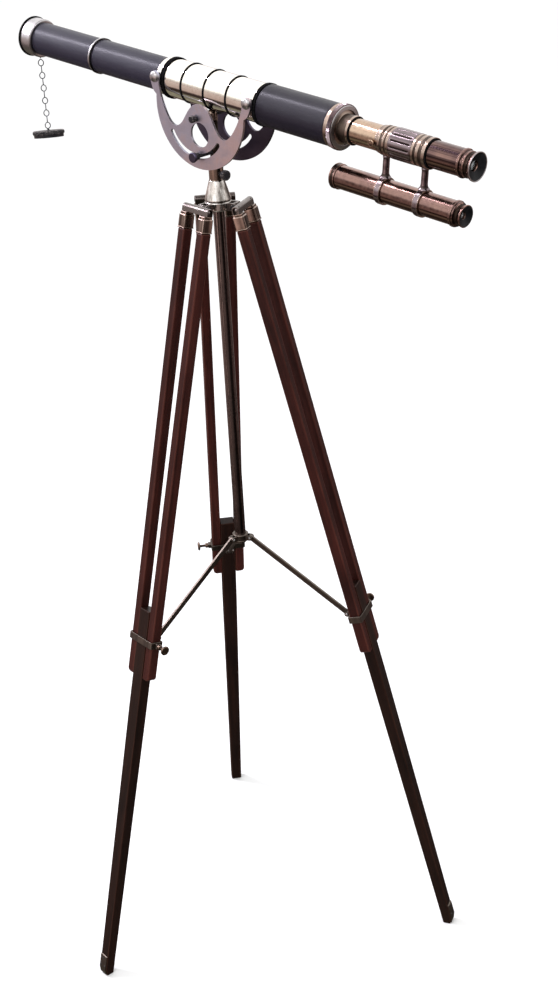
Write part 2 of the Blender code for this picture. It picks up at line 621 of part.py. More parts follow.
def build_draw(draw):
    """Draw tube with its collars, focusing grip and eyepiece."""
    seg = TURN_SEGMENTS
    tube = [(180, 17.2), (180, 19.0), (418, 19.0), (418, 17.2)]
    place("draw_tube", turned(tube, "X", seg), "brass", draw)
    collar = [(340.5, 19.3), (340.5, 20.6), (347, 20.6), (347, 22), (350.6, 22), (350.6, 20.9), (355, 20.9),
              (355, 22.3), (359, 22.3), (359, 21.2), (362, 21.2), (362, 22.6), (366, 22.6), (366, 19.3)]
    place("collar_front", turned(collar, "X", seg), "brass", draw)
    rear = [(408.3, 19.3), (408.3, 22.9), (412.5, 22.9), (412.5, 22.0), (416.5, 22.0), (416.5, 22.9),
            (421.5, 22.9), (421.5, 22.2), (427.5, 22.2), (427.5, 23.0), (433, 23.0), (433, 20.5), (418.4, 20.5),
            (418.4, 19.3)]
    place("collar_rear", turned(rear, "X", seg), "brass", draw)

    place("focus_grip", build_grip(), "bronze", draw)

    screw_angle = math.radians(95)
    screw_axis = empty("stop_screw_axis", draw, (337.5 * MM, 0, 0), (screw_angle, 0, 0))
    screw = [(19.3, 0), (19.3, 2.4), (22.5, 2.4), (22.8, 5.2), (24.8, 5.4), (25.4, 4.8), (25.4, 0)]
    place("stop_screw", turned(screw, "Z", 16), "brass", screw_axis)

    eye = [(398, 15.2), (398, 16.9), (434, 16.9), (434, 20.1), (487.5, 20.1), (487.5, 17.4), (440, 17.4),
           (438, 15.2)]
    place("eyepiece_tube", turned(eye, "X", seg), "bronze", draw)
    cup = [(487.8, 9), (487.8, 21.2), (491.8, 21.2), (494, 18.4), (496, 18.4), (496, 19.4), (499.5, 19.4),
           (499.5, 17.8), (503.5, 17.8), (508.5, 21.2), (511, 21.2), (511, 19.6), (505.0, 7), (499.6, 7),
           (499.6, 9)]
    place("eyecup", turned(cup, "X", seg), "bronze", draw)
    place("eye_lens", turned([(493, 0), (493, 8.7), (497, 8.7), (499, 5), (499.3, 0)], "X", 16), "glass", draw)


def build_grip():
    """Fluted ring turning on the draw tube."""
    flutes = 14
    outline = []
    for k in range(flutes):
        mid = 360.0 / flutes * k
        width = 360.0 / flutes
        for off, r in ((-0.5, 20.9), (-0.40, 22.7), (0.0, 23.0), (0.40, 22.7)):
            a = math.radians(mid + off * width)
            outline.append((r * MM * math.cos(a), r * MM * math.sin(a)))
    grip = bmesh.new()
    outer = []
    inner = []
    for x in (366.3 * MM, 408.0 * MM):
        outer.append([grip.verts.new((x, y, z)) for y, z in outline])
        ring = [Vector((y, z)).normalized() * 19.3 * MM for y, z in outline]
        inner.append([grip.verts.new((x, p[0], p[1])) for p in ring])
    loops = [outer[0], outer[1], inner[1], inner[0]]
    count = len(outline)
    for k in range(4):
        one = loops[k]
        two = loops[(k + 1) % 4]
        for j in range(count):
            grip.faces.new((one[j], one[(j + 1) % count], two[(j + 1) % count], two[j]))
    return grip


def build_finder(finder):
    """Small sighting telescope hung under the draw tube by two posts."""
    seg = 16
    tube = [(266.3, 16.2), (266.3, 18), (479.6, 18), (479.6, 16.2)]
    place("finder_tube", turned(tube, "X", seg), "bronze", finder)
    cell = [(256, 15), (256, 18.9), (257, 19.7), (264.5, 19.7), (265.2, 19.0), (266, 19.0), (266, 15.0)]
    place("finder_cell", turned(cell, "X", seg), "bronze", finder)
    lens = [(259, 0), (259.6, 9), (261, 14.7), (263, 14.7), (263, 0)]
    place("finder_lens", turned(lens, "X", seg), "glass", finder)
    reach = (TUBE_Z - FINDER_Z) / MM
    for name, x, clear in (("finder_clamp_front", 349.4, 22.5), ("finder_clamp_rear", 421.0, 23.4)):
        ring = place(name, turned(pipe(x - 4.5, x + 4.5, 18.3, 20.9, 0.8), "X", seg), "bronze", finder)
        top = reach - clear
        post = [(19.6, 0), (19.6, 8.6), (22.5, 7.8), (25.5, 5.6), (top - 3, 5.2), (top, 5.7), (top, 0)]
        fuse(ring, turned(post, "Z", 16, (x * MM, 0, 0)), "cut_" + name)
    eye = [(466, 14.4), (466, 15.9), (480, 15.9), (480, 19.6), (484.8, 19.6), (484.8, 18.6), (487.8, 18.6),
           (489.5, 14.2), (492, 14.2), (496.5, 16.4), (499, 16.4), (499, 14.6), (494, 6), (482, 6)]
    place("finder_eyepiece", turned(eye, "X", seg), "bronze", finder)


# ================================================================ dust cap
def link(bm, top, turn):
    """One chain link as a closed wire loop hanging below a point."""
    half_length = LINK_LENGTH / 2 - LINK_WIRE
    half_width = LINK_WIDTH / 2 - LINK_WIRE
    count = 6
    sides = 4
    spot = Matrix.Translation((0, 0, top)) @ Matrix.Rotation(turn, 4, "Z")
    rings = []
    for k in range(count):
        a = 2 * math.pi * k / count
        centre = Vector((half_width * math.sin(a), 0, half_length * math.cos(a) - LINK_LENGTH / 2))
        out = Vector((math.sin(a), 0, math.cos(a)))
        side = Vector((0, 1, 0))
        ring = []
        for j in range(sides):
            b = 2 * math.pi * j / sides
            ring.append(bm.verts.new(spot @ (centre + LINK_WIRE * (out * math.cos(b) + side * math.sin(b)))))
        rings.append(ring)
    for k in range(count):
        one = rings[k]
        two = rings[(k + 1) % count]
        for j in range(sides):
            bm.faces.new((one[j], one[(j + 1) % sides], two[(j + 1) % sides], two[j]))


def build_chain(tilt):
    """Chain hanging plumb from the eye of the objective cell, cap at its end."""
    frame = empty("chain_axis", tilt, (CHAIN_X, 0, TUBE_Z - 36.6 * MM), (0, -TILT, 0))
    sets = [bmesh.new(), bmesh.new()]
    for k in range(LINKS):
        link(sets[k % 2], -k * LINK_PITCH, math.radians(20 + 90 * (k % 2)))
    fuse(place("cap_chain", sets[0], "steel", frame), sets[1], "cut_links")
    cap_top = -(LINKS - 1) * LINK_PITCH - LINK_LENGTH - 0.4 * MM
    cap_axis = empty("cap_axis", frame, (0, 0, cap_top), (math.radians(-6), math.radians(-8), 0))
    body = [(0, 0), (0, 1.8), (-2.5, 2.4), (-2.5, 26.6), (-3.3, 27.8), (-9.0, 27.8), (-9.6, 27.0),
            (-9.6, 26.2), (-14.5, 26.2), (-14.5, 24.4), (-6.0, 24.4), (-6.0, 0)]
    place("dust_cap", turned(body, "Z", 20), "black", cap_axis)


build_head()
build_legs()
build_collar()
tilt_frame = build_mount()
build_yoke(tilt_frame)
tube_frame = empty("optical_axis", tilt_frame, (0, 0, TUBE_Z))
build_tube(tube_frame)
build_draw(empty("draw_axis", tube_frame, (DRAW_X, 0, 0)))
build_finder(empty("finder_axis", tilt_frame, (DRAW_X, 0, FINDER_Z)))
build_chain(tilt_frame)
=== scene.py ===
"""Looks of a leather and brass telescope on a folding wooden tripod.

Every piece is built in the local frame of the CAD body that it rides on:
X runs along the tube towards the eyepiece, Y along the tilt pivot, and a leg's
Z runs up along the leg.  Lengths in the piece functions are in millimetres.
"""
import json
import math

import bmesh
import bpy
from mathutils import Matrix, Vector


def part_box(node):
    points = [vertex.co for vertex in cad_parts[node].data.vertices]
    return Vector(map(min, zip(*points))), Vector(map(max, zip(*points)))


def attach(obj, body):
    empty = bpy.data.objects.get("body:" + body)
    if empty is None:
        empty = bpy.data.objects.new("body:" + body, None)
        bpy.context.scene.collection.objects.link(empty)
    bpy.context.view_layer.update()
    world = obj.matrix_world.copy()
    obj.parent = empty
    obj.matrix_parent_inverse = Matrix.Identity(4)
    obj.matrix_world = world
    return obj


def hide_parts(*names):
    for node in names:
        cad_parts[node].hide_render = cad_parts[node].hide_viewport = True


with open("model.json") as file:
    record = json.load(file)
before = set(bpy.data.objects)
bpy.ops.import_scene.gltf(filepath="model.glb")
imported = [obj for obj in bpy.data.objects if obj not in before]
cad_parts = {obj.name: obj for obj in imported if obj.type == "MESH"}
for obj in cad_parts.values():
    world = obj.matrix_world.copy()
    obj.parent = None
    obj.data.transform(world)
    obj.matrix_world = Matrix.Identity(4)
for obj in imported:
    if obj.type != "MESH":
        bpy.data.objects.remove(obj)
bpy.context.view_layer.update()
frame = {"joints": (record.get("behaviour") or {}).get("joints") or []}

MM = 0.001
JOINTS = {j["name"]: j for j in frame["joints"]}
LEGS = ("a", "b", "c")

# Sizes shared by several pieces, in millimetres.
SLEEVE_R = 30.7
SLEEVE_RINGS = (-41.8, 7.8, 56.2)   # stations of the three thin rings
PLATE_IN = 34.0
PLATE_OUT = 38.0
HORN_X = 100.5
PLATE_X = 8.3
HOLE_X = 10.0
HORN_Z = 47.0
SLOT_R = 59.5
PIVOT_Z = 1515.5
PILLAR_FOOT_Z = 1402.3
NECK_TOP_Z = 1434.0
HINGE_R = 30
HINGE_Z = 1368
LEG_X = 13.3             # leg's middle plane, outboard of its hinge pin
BAND_Z = -746.0
LUG_X = -24.0            # brace pivot, inboard of the leg's middle plane
LUG_R = 4.7
RAIL_W = 16.4
RAIL_D = 18.4
RAIL_PITCH_TOP = 49.0
RAIL_PITCH_LOW = 43.6
LOWER_W = 26.4
LOWER_D = 20.4
LOWER_TOP = -690.0
TAPER_FROM = -880.0
TOE_W = 20.0
TOE_D = 18.0
TOE_H = 16
COLLAR_Z = 768.0
BRACE_R = 19.0           # inner brace pivots, from the column's axis
COLUMN_END = 757.0
CHAIN_X = -418.3
DRAWN_OUT = 7.0          # draw tube and sighting scope, from their fully home stations


# ------------------------------------------------------------------ frames
def axis_of(name):
    return Vector(JOINTS[name]["axis"]).normalized()


def point_of(name):
    return Vector(JOINTS[name]["pos_m"])


def basis(origin, x, y):
    """Local frame with these X and Y directions."""
    matrix = Matrix((x, y, x.cross(y))).transposed().to_4x4()
    matrix.translation = origin
    return matrix


def offset(x, y, z):
    """Translation in millimetres."""
    return Matrix.Translation((x * MM, y * MM, z * MM))


def foot_on_line(point, start, direction):
    return start + direction * (point - start).dot(direction)


PIVOT = point_of("tilt")
ALONG = axis_of("draw_slide")
ACROSS = axis_of("tilt")
UP = Vector((0, 0, 1))
YOKE = basis(PIVOT, ALONG, ACROSS)
TUBE = basis(foot_on_line(PIVOT, point_of("focus_turn"), ALONG), ALONG, ACROSS)
OUT = offset(DRAWN_OUT, 0, 0)
DRAW = TUBE @ OUT
finder_low, finder_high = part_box("finder_tube")
finder_mid = (finder_low + finder_high) / 2
FINDER = basis(foot_on_line(PIVOT, finder_mid, ALONG), ALONG, ACROSS) @ OUT
MOUNT = basis(PIVOT, ACROSS.cross(UP), ACROSS)
HEAD = Matrix.Translation(Vector((PIVOT.x, PIVOT.y, 0)))
CHAIN = basis(point_of("chain_swing"), ACROSS.cross(UP), ACROSS)
CAP_TILT = Matrix.Rotation(math.radians(-8), 4, "Y")
CAP_ROLL = Matrix.Rotation(math.radians(-6), 4, "X")
CAP = basis(point_of("cap_swing"), ACROSS.cross(UP), ACROSS) @ CAP_TILT @ CAP_ROLL
LEG = {}
for key in LEGS:
    fold = axis_of("leg_fold_" + key)
    LEG[key] = basis(point_of("leg_fold_" + key), fold.cross(axis_of("leg_slide_" + key)), fold)


# ------------------------------------------------------------------ materials
class Nodes:
    """Short calls that build a node tree."""

    def __init__(self, tree):
        self.tree = tree

    def put(self, socket, value):
        if isinstance(value, bpy.types.NodeSocket):
            self.tree.links.new(value, socket)
        elif isinstance(value, tuple) and len(value) == 3 and socket.type == "RGBA":
            socket.default_value = (*value, 1.0)
        else:
            socket.default_value = value

    def fill(self, node, values):
        """Set a node's inputs by name, with _ for each space."""
        for name, value in values.items():
            self.put(node.inputs[name.replace("_", " ")], value)

    def new(self, kind, **values):
        node = self.tree.nodes.new("ShaderNode" + kind)
        self.fill(node, values)
        return node

    def span(self, value, low, high, to_low=0.0, to_high=1.0):
        """Map low..high to to_low..to_high, clamped."""
        node = self.new("MapRange", From_Min=low, From_Max=high, To_Min=to_low, To_Max=to_high)
        self.put(node.inputs["Value"], value)
        return node.outputs["Result"]

    def math(self, kind, a, b):
        node = self.new("Math")
        node.operation = kind
        self.put(node.inputs[0], a)
        self.put(node.inputs[1], b)
        return node.outputs[0]

    def times(self, a, b):
        return self.math("MULTIPLY", a, b)

    def plus(self, a, b):
        return self.math("ADD", a, b)

    def mix(self, factor, a, b):
        node = self.new("Mix")
        node.data_type = "RGBA"
        self.put(node.inputs["Factor"], factor)
        self.put(node.inputs[6], a)
        self.put(node.inputs[7], b)
        return node.outputs[2]

    def ramp(self, value, stops):
        """Colour ramp through (position, colour) stops."""
        node = self.new("ValToRGB", Fac=value)
        elements = node.color_ramp.elements
        while len(elements) < len(stops):
            elements.new(0.5)
        for element, (at, colour) in zip(elements, stops):
            element.position = at
            element.color = (*colour, 1.0)
        return node.outputs["Color"]


class Graph(Nodes):
    """A material and its node tree."""

    def __init__(self, name):
        self.material = bpy.data.materials.new(name)
        self.material.use_nodes = True
        super().__init__(self.material.node_tree)
        self.shader = self.tree.nodes["Principled BSDF"]
        self.coords = self.new("TexCoord").outputs["Object"]

    def shade(self, **values):
        self.fill(self.shader, values)

    def scaled(self, scale):
        return self.new("Mapping", Vector=self.coords, Scale=scale).outputs["Vector"]

    def noise(self, scale, stretch=(1, 1, 1), detail=4.0, rough=0.55, distortion=0.0):
        node = self.new(
            "TexNoise", Scale=scale, Detail=detail, Roughness=rough, Distortion=distortion)
        self.put(node.inputs["Vector"], self.scaled(stretch))
        return node.outputs["Fac"]

    def cells(self, scale, stretch=(1, 1, 1), feature="F1"):
        node = self.new("TexVoronoi")
        node.feature = feature
        self.fill(node, {"Vector": self.scaled(stretch), "Scale": scale})
        return node.outputs["Distance"]

    def wear(self):
        """Marks of the faces: 1 on worn edges, -1 in dirty grooves."""
        node = self.new("Attribute")
        node.attribute_name = "wear"
        return node.outputs["Fac"]

    def bump(self, height, distance, strength, below=None):
        node = self.new("Bump", Strength=strength, Distance=distance, Height=height)
        if below is not None:
            self.put(node.inputs["Normal"], below)
        return node.outputs["Normal"]


def tint(colour, factor):
    return tuple(min(1.0, factor * part) for part in colour)


GRIME = (0.03, 0.02, 0.015)


def metal(name, base, tarnish, rough, lines, amount, painted_streaks=0.0):
    """Plated or lacquered metal: blotchy tarnish, tool lines, bright edges, dirty grooves, and
    painted reflection streaks.
    """
    g = Graph(name)
    clouds = g.noise(26.0, detail=5.0, rough=0.6)
    spots = g.noise(210.0, detail=6.0, rough=0.65)
    drawn = g.noise(420.0, stretch=lines, detail=3.0, rough=0.5)
    stain = g.times(g.span(clouds, 0.38, 0.68), amount)
    colour = g.mix(stain, base, tarnish)
    freckle = g.times(g.span(spots, 0.58, 0.78), 0.55 * amount)
    colour = g.mix(freckle, colour, tint(tarnish, 0.45))
    colour = g.mix(g.span(drawn, 0.3, 0.75, 0.0, 0.22), colour, tint(base, 0.62))
    # Painted reflection: broad light and dark bands along the tool lines, standing in for the
    # studio that the metal reflects.
    if painted_streaks:
        slow = tuple(0.06 * part if part < 1 else part for part in lines)
        reflection_bands = g.noise(95.0, stretch=slow, detail=5.0, rough=0.62)
        colour = g.mix(g.span(reflection_bands, 0.47, 0.60, 0.0, painted_streaks), colour, tint(tarnish, 0.3))
        colour = g.mix(g.span(reflection_bands, 0.45, 0.34, 0.0, painted_streaks), colour, tint(base, 1.5))
    wear = g.wear()
    rub = g.times(g.span(wear, 0.2, 0.9), g.span(spots, 0.35, 0.6, 0.35, 1.0))
    colour = g.mix(g.times(rub, 0.6), colour, tint(base, 1.35))
    dirt = g.times(g.span(wear, -0.2, -0.9), g.span(clouds, 0.3, 0.6, 0.5, 1.0))
    colour = g.mix(dirt, colour, GRIME)
    roughness = g.plus(
        g.span(clouds, 0.35, 0.7, rough - 0.04, rough + 0.12 * amount + 0.03),
        g.span(drawn, 0.35, 0.7, -0.02, 0.07))
    roughness = g.plus(roughness, g.times(dirt, 0.3))
    dents = g.bump(g.noise(38.0, detail=2.0), 0.0006, 0.35)
    fine = g.bump(drawn, 0.00008, 0.5, dents)
    g.shade(Base_Color=colour, Metallic=1.0, Roughness=roughness, Normal=fine)
    return g.material


def plate_metal(name, cool, warm, rough):
    """Brushed plate with stains, cool on the objective side and warm towards the eyepiece."""
    g = Graph(name)
    parts = g.new("SeparateXYZ", Vector=g.coords)
    lean = g.math("SUBTRACT", parts.outputs["X"], g.times(parts.outputs["Z"], 0.8))
    clouds = g.noise(30.0, detail=6.0, rough=0.6, distortion=0.6)
    brushed = g.noise(900.0, stretch=(0.02, 1.0, 1.0), detail=3.0)
    cross = g.noise(700.0, stretch=(1.0, 1.0, 0.03), detail=3.0)
    warmth = g.plus(g.span(lean, 0.01, 0.15, 0.0, 0.85), g.span(clouds, 0.35, 0.65, -0.25, 0.3))
    colour = g.mix(g.span(warmth, 0.0, 1.0), cool, warm)
    lines = g.plus(g.span(brushed, 0.3, 0.7, 0.0, 0.18), g.span(cross, 0.35, 0.7, 0.0, 0.10))
    colour = g.mix(lines, colour, tint(cool, 0.55))
    stain = g.times(g.span(clouds, 0.5, 0.72), 0.45)
    colour = g.mix(stain, colour, tint(warm, 0.5))
    colour = g.mix(g.times(g.span(g.wear(), 0.2, 0.9), 0.7), colour, tint(cool, 1.4))
    roughness = g.plus(
        g.span(clouds, 0.35, 0.7, rough - 0.06, rough + 0.1),
        g.span(brushed, 0.35, 0.7, 0.0, 0.06))
    g.shade(Base_Color=colour, Metallic=1.0, Roughness=roughness, Normal=g.bump(brushed, 0.00006,
            0.4, g.bump(clouds, 0.0006, 0.25)))
    return g.material


def lacquer(name, base, rough, gloss, worn):
    """Black lacquer over brass, dusty, with the metal showing on its edges."""
    g = Graph(name)
    clouds = g.noise(60.0, detail=5.0, rough=0.6)
    spots = g.noise(500.0, detail=6.0, rough=0.7)
    colour = g.mix(g.span(clouds, 0.35, 0.7), base, tuple(2.2 * c + 0.004 for c in base))
    chips = g.times(g.span(g.wear(), 0.3, 0.9), g.span(spots, 0.5, 0.62))
    colour = g.mix(chips, colour, worn)
    roughness = g.plus(
        g.span(clouds, 0.3, 0.7, rough - 0.05, rough + 0.12), g.span(spots, 0.4, 0.7, 0.0, 0.08))
    g.shade(Base_Color=colour, Metallic=chips, Roughness=roughness, Normal=g.bump(spots, 0.00006,
            0.5, g.bump(clouds, 0.0003, 0.25)))
    g.shade(Specular_IOR_Level=gloss, Coat_Weight=0.3 * gloss, Coat_Roughness=0.2)
    return g.material


def leather(name, base, crease, sheen):
    """Grained leather: small uneven cells with darker creases, rubbed along its edges."""
    g = Graph(name)
    warp = g.noise(300.0, detail=3.0)
    cells = g.cells(760.0, feature="DISTANCE_TO_EDGE")
    small = g.cells(1650.0, stretch=(1.0, 0.8, 1.15))
    clouds = g.noise(22.0, detail=5.0, rough=0.6)
    pebble = g.plus(g.span(cells, 0.0, 0.16), g.times(small, -0.35))
    pebble = g.plus(pebble, g.times(warp, 0.3))
    colour = g.mix(g.span(clouds, 0.3, 0.7), base, tint(base, 1.3))
    colour = g.mix(g.span(cells, 0.11, 0.0, 0.0, 0.6), colour, crease)
    colour = g.mix(g.times(g.span(g.wear(), 0.2, 0.9), 0.5), colour, tint(base, 2.2))
    roughness = g.plus(g.span(clouds, 0.3, 0.7, 0.36, 0.46), g.span(cells, 0.0, 0.12, 0.12, 0.0))
    g.shade(Base_Color=colour, Roughness=roughness, Normal=g.bump(pebble, 0.00022, 0.55,
            g.bump(clouds, 0.0008, 0.2)))
    g.shade(Specular_IOR_Level=0.16, Coat_Weight=sheen, Coat_Roughness=0.24)
    return g.material


def wood(name, light, dark, edge):
    """Varnished mahogany with long grain along Z, ribbon figure and open pores."""
    g = Graph(name)
    figure = g.noise(34.0, stretch=(1.0, 1.0, 0.07), detail=7.0, rough=0.62, distortion=1.4)
    ribbon = g.noise(150.0, stretch=(1.0, 1.0, 0.035), detail=5.0, rough=0.6)
    pores = g.noise(1300.0, stretch=(1.0, 1.0, 0.03), detail=2.0)
    mottle = g.noise(9.0, detail=3.0)
    colour = g.mix(g.span(figure, 0.36, 0.66), dark, light)
    colour = g.mix(g.span(ribbon, 0.42, 0.7, 0.0, 0.55), colour, tint(dark, 0.5))
    colour = g.mix(g.span(mottle, 0.35, 0.7, 0.0, 0.35), colour, tint(light, 1.25))
    pit = g.span(pores, 0.6, 0.7)
    colour = g.mix(g.times(pit, 0.7), colour, tint(dark, 0.25))
    rub = g.times(g.span(g.wear(), 0.2, 0.9), g.span(mottle, 0.3, 0.6, 0.15, 0.7))
    colour = g.mix(rub, colour, edge)
    roughness = g.plus(g.span(ribbon, 0.35, 0.7, 0.3, 0.42), g.times(pit, 0.2))
    grain = g.bump(g.plus(g.times(pit, -1.0), g.times(ribbon, 0.6)), 0.0001, 0.5)
    g.shade(Base_Color=colour, Roughness=roughness, Normal=grain)
    g.shade(Specular_IOR_Level=0.12, Coat_Weight=0.03, Coat_Roughness=0.16)
    return g.material


def glass(name, base):
    """Coated lens: clear, with a faint film of dust towards its rim."""
    g = Graph(name)
    film = g.noise(90.0, detail=5.0, rough=0.6)
    colour = g.mix(g.span(film, 0.4, 0.75), base, tint(base, 0.75))
    g.shade(Base_Color=colour, Roughness=g.span(film, 0.35, 0.75, 0.02, 0.12),
            Normal=g.bump(film, 0.00002, 0.3))
    g.shade(Transmission_Weight=0.75, IOR=1.52)
    return g.material


# TURNED and DRAWN stretch both the tool lines and the painted reflection streaks of metal().
TURNED = (6.0, 0.02, 0.02)      # tool lines round a piece turned about X
DRAWN = (0.02, 1.0, 1.0)        # streaks along a piece drawn along X
DRAWN_Z = (1.0, 1.0, 0.02)
EVEN = (1.0, 1.0, 1.0)

# The last number of each metal is the strength of its painted reflection streaks.
NICKEL = metal("nickel_plate", (0.40, 0.385, 0.39), (0.28, 0.24, 0.235), 0.27, TURNED, 0.5, 0.3)
NICKEL_Z = metal(
    "nickel_plate_upright", (0.62, 0.59, 0.56), (0.26, 0.21, 0.17), 0.16, DRAWN_Z, 0.5, 0.75)
SLEEVE = metal("polished_sleeve", (0.82, 0.73, 0.65), (0.56, 0.44, 0.36), 0.04, DRAWN, 0.3, 0.35)
BRASS = metal("aged_brass", (0.40, 0.29, 0.21), (0.24, 0.15, 0.11), 0.16, DRAWN, 0.5, 0.6)
BRASS_Z = metal(
    "aged_brass_upright", (0.27, 0.20, 0.16), (0.13, 0.09, 0.07), 0.2, DRAWN_Z, 0.7, 0.7)
ROSE = metal("rose_brass", (0.34, 0.26, 0.215), (0.16, 0.115, 0.095), 0.2, TURNED, 0.6, 0.45)
COPPER = metal(
    "browned_brass", (0.230, 0.140, 0.116), (0.058, 0.033, 0.040), 0.13, DRAWN, 0.85, 1.0)
GRIP = metal("dark_grip_metal", (0.24, 0.19, 0.20), (0.09, 0.07, 0.07), 0.16, DRAWN, 0.6, 0.5)
STEEL = metal("dark_bar_metal", (0.15, 0.125, 0.105), (0.06, 0.045, 0.04), 0.34, DRAWN_Z, 0.6, 0.4)
COLUMN = metal("column_metal", (0.17, 0.135, 0.125), (0.05, 0.038, 0.038), 0.16, DRAWN_Z, 0.6, 0.9)
PLATE = plate_metal("brushed_plate_metal", (0.47, 0.46, 0.55), (0.68, 0.49, 0.46), 0.34)
# A near-black copy of the plate metal: painted shade on the far plate's inner face, and the plain
# dark grey face of the clamp bolt.
DARK_FACE_AND_SHADED_PLATE = plate_metal("dark_face_and_shaded_plate_metal", (0.065, 0.055, 0.085), (0.10, 0.075, 0.10), 0.36)
CROSSBAR = metal("crossbar_metal", (0.19, 0.165, 0.155), (0.09, 0.07, 0.062), 0.24, EVEN, 0.7)
FERRULE = metal(
    "ferrule_brass", (0.25, 0.185, 0.155), (0.10, 0.066, 0.055), 0.18, DRAWN_Z, 0.8, 0.8)
KNOB = metal("bronze_knob_metal", (0.15, 0.105, 0.08), (0.07, 0.05, 0.038), 0.28, EVEN, 0.7)
CHAIN_METAL = metal(
    "chain_wire_metal", (0.075, 0.075, 0.09), (0.035, 0.035, 0.042), 0.38, EVEN, 0.7)
BLACK = lacquer("black_lacquer", (0.005, 0.0045, 0.006), 0.34, 0.2, (0.22, 0.19, 0.18))
BLACK_WORN = lacquer("worn_black_lacquer", (0.007, 0.0065, 0.008), 0.38, 0.2, (0.16, 0.15, 0.15))
JAPAN = lacquer("dead_black_lacquer", (0.003, 0.0027, 0.0033), 0.72, 0.03, (0.006, 0.0055, 0.005))
BORE = lacquer("blackened_bore", (0.003, 0.003, 0.004), 0.42, 0.15, (0.08, 0.075, 0.07))
LEATHER = leather("tube_leather", (0.0085, 0.0072, 0.0145), (0.003, 0.0025, 0.0055), 0.2)
# The same leather as the front wraps, painted darker for the rear wrap: painted shade.
LEATHER_SHADED = leather(
    "shaded_rear_tube_leather", (0.0042, 0.0028, 0.0072), (0.0016, 0.0011, 0.0026), 0.2)
MAHOGANY = wood("mahogany", (0.048, 0.0095, 0.0065), (0.015, 0.0034, 0.0027), (0.08, 0.022, 0.015))
MAHOGANY_DARK = wood(
    "dark_mahogany", (0.018, 0.0062, 0.0036), (0.0065, 0.0027, 0.0019), (0.04, 0.014, 0.008))
LENS = glass("lens_glass", (0.86, 0.92, 0.95))


# ------------------------------------------------------------------ meshes
def corner(before, here, after, radius, convex_sign):
    """Points of a rounded profile corner as (station, radius, wear)."""
    p = Vector(here)
    back = Vector(before) - p
    ahead = Vector(after) - p
    if back.length < 1e-6 or ahead.length < 1e-6:
        return [(p.x, p.y, 0.0)]
    bend = back.angle(-ahead)
    if bend < math.radians(14):
        return [(p.x, p.y, 0.0)]
    reach = min(radius, 0.38 * back.length, 0.38 * ahead.length)
    one = p + back.normalized() * reach
    two = p + ahead.normalized() * reach
    cross = back.x * ahead.y - back.y * ahead.x
    worn = 1.0 if cross * convex_sign < 0 else -1.0
    steps = 3
    points = []
    for k in range(steps + 1):
        t = k / steps
        q = one * (1 - t) ** 2 + p * 2 * t * (1 - t) + two * t * t
        points.append((q.x, q.y, worn))
    return points


def rounded(profile, radius):
    """Round the corners of a profile; it is closed unless it ends on the axis."""
    closed = profile[0][1] > 1e-6
    count = len(profile)
    area = sum(
        profile[k][0] * profile[(k + 1) % count][1] - profile[(k + 1) % count][0] * profile[k][1]
        for k in range(count))
    sign = 1.0 if area > 0 else -1.0
    points = []
    for k, here in enumerate(profile):
        if not closed and k in (0, count - 1):
            points.append((here[0], here[1], 0.0))
            continue
        points += corner(profile[k - 1], here, profile[(k + 1) % count], radius, sign)
    return points, closed


def empty():
    """A new mesh and its layer of wear marks."""
    bm = bmesh.new()
    return bm, bm.faces.layers.float.new("wear")


def on_axis(axis, w, u, v):
    """Point at station w along a local axis, u and v across it."""
    return {"X": (w, u, v), "Y": (u, w, v), "Z": (u, v, w)}[axis]


def lathe(profile, axis="X", segments=128, radius=0.35, teeth=None):
    """Turn a profile of (station, radius) in millimetres about a local axis.

    radius rounds the corners.  teeth is (from, to, depth, least radius): between those
    stations, every other point of the rows wider than the least radius is cut in.
    """
    points, closed = rounded(profile, radius)
    bm, wear = empty()
    rings = []
    for s, r, _ in points:
        row = []
        sides = segments if r > 1e-6 else 1
        for k in range(sides):
            a = 2 * math.pi * k / segments
            rr = r
            if teeth and teeth[0] <= s <= teeth[1] and k % 2 and r > teeth[3]:
                rr = r - teeth[2]
            u = rr * math.cos(a) * MM
            v = rr * math.sin(a) * MM
            w = s * MM
            row.append(bm.verts.new(on_axis(axis, w, u, v)))
        rings.append(row)
    last = len(rings) if closed else len(rings) - 1
    for j in range(last):
        one = rings[j]
        two = rings[(j + 1) % len(rings)]
        mark = 0.0
        if points[j][2] * points[(j + 1) % len(rings)][2] > 0:
            mark = points[j][2]
        for k in range(segments):
            n = (k + 1) % segments
            loop = [one[k % len(one)], one[n % len(one)], two[n % len(two)], two[k % len(two)]]
            loop = list(dict.fromkeys(loop))
            if len(loop) > 2:
                bm.faces.new(loop)[wear] = mark
    bmesh.ops.recalc_face_normals(bm, faces=bm.faces[:])
    return bm


def ring(start, end, inner, outer):
    """Profile of a plain ring."""
    return [(start, inner), (start, outer), (end, outer), (end, inner)]


def bevelled(bm, width, segments=3, limit=30.0):
    """Round the sharp edges and mark the new faces as edge wear."""
    wear = bm.faces.layers.float.get("wear") or bm.faces.layers.float.new("wear")
    sharp = [e for e in bm.edges
             if len(e.link_faces) == 2 and e.calc_face_angle(0) > math.radians(limit)]
    made = bmesh.ops.bevel(
        bm, geom=sharp, offset=width * MM, segments=segments, affect="EDGES", profile=0.5,
        clamp_overlap=True)
    for face in made["faces"]:
        face[wear] = 1.0
    return bm


def block(low, high, width):
    """Box between two corners, its edges rounded."""
    bm = bmesh.new()
    made = bmesh.ops.create_cube(bm, size=1.0)["verts"]
    for v in made:
        v.co = Vector(
            [((a + b) / 2 + v.co[k] * (b - a)) * MM for k, (a, b) in enumerate(zip(low, high))])
    return bevelled(bm, width)


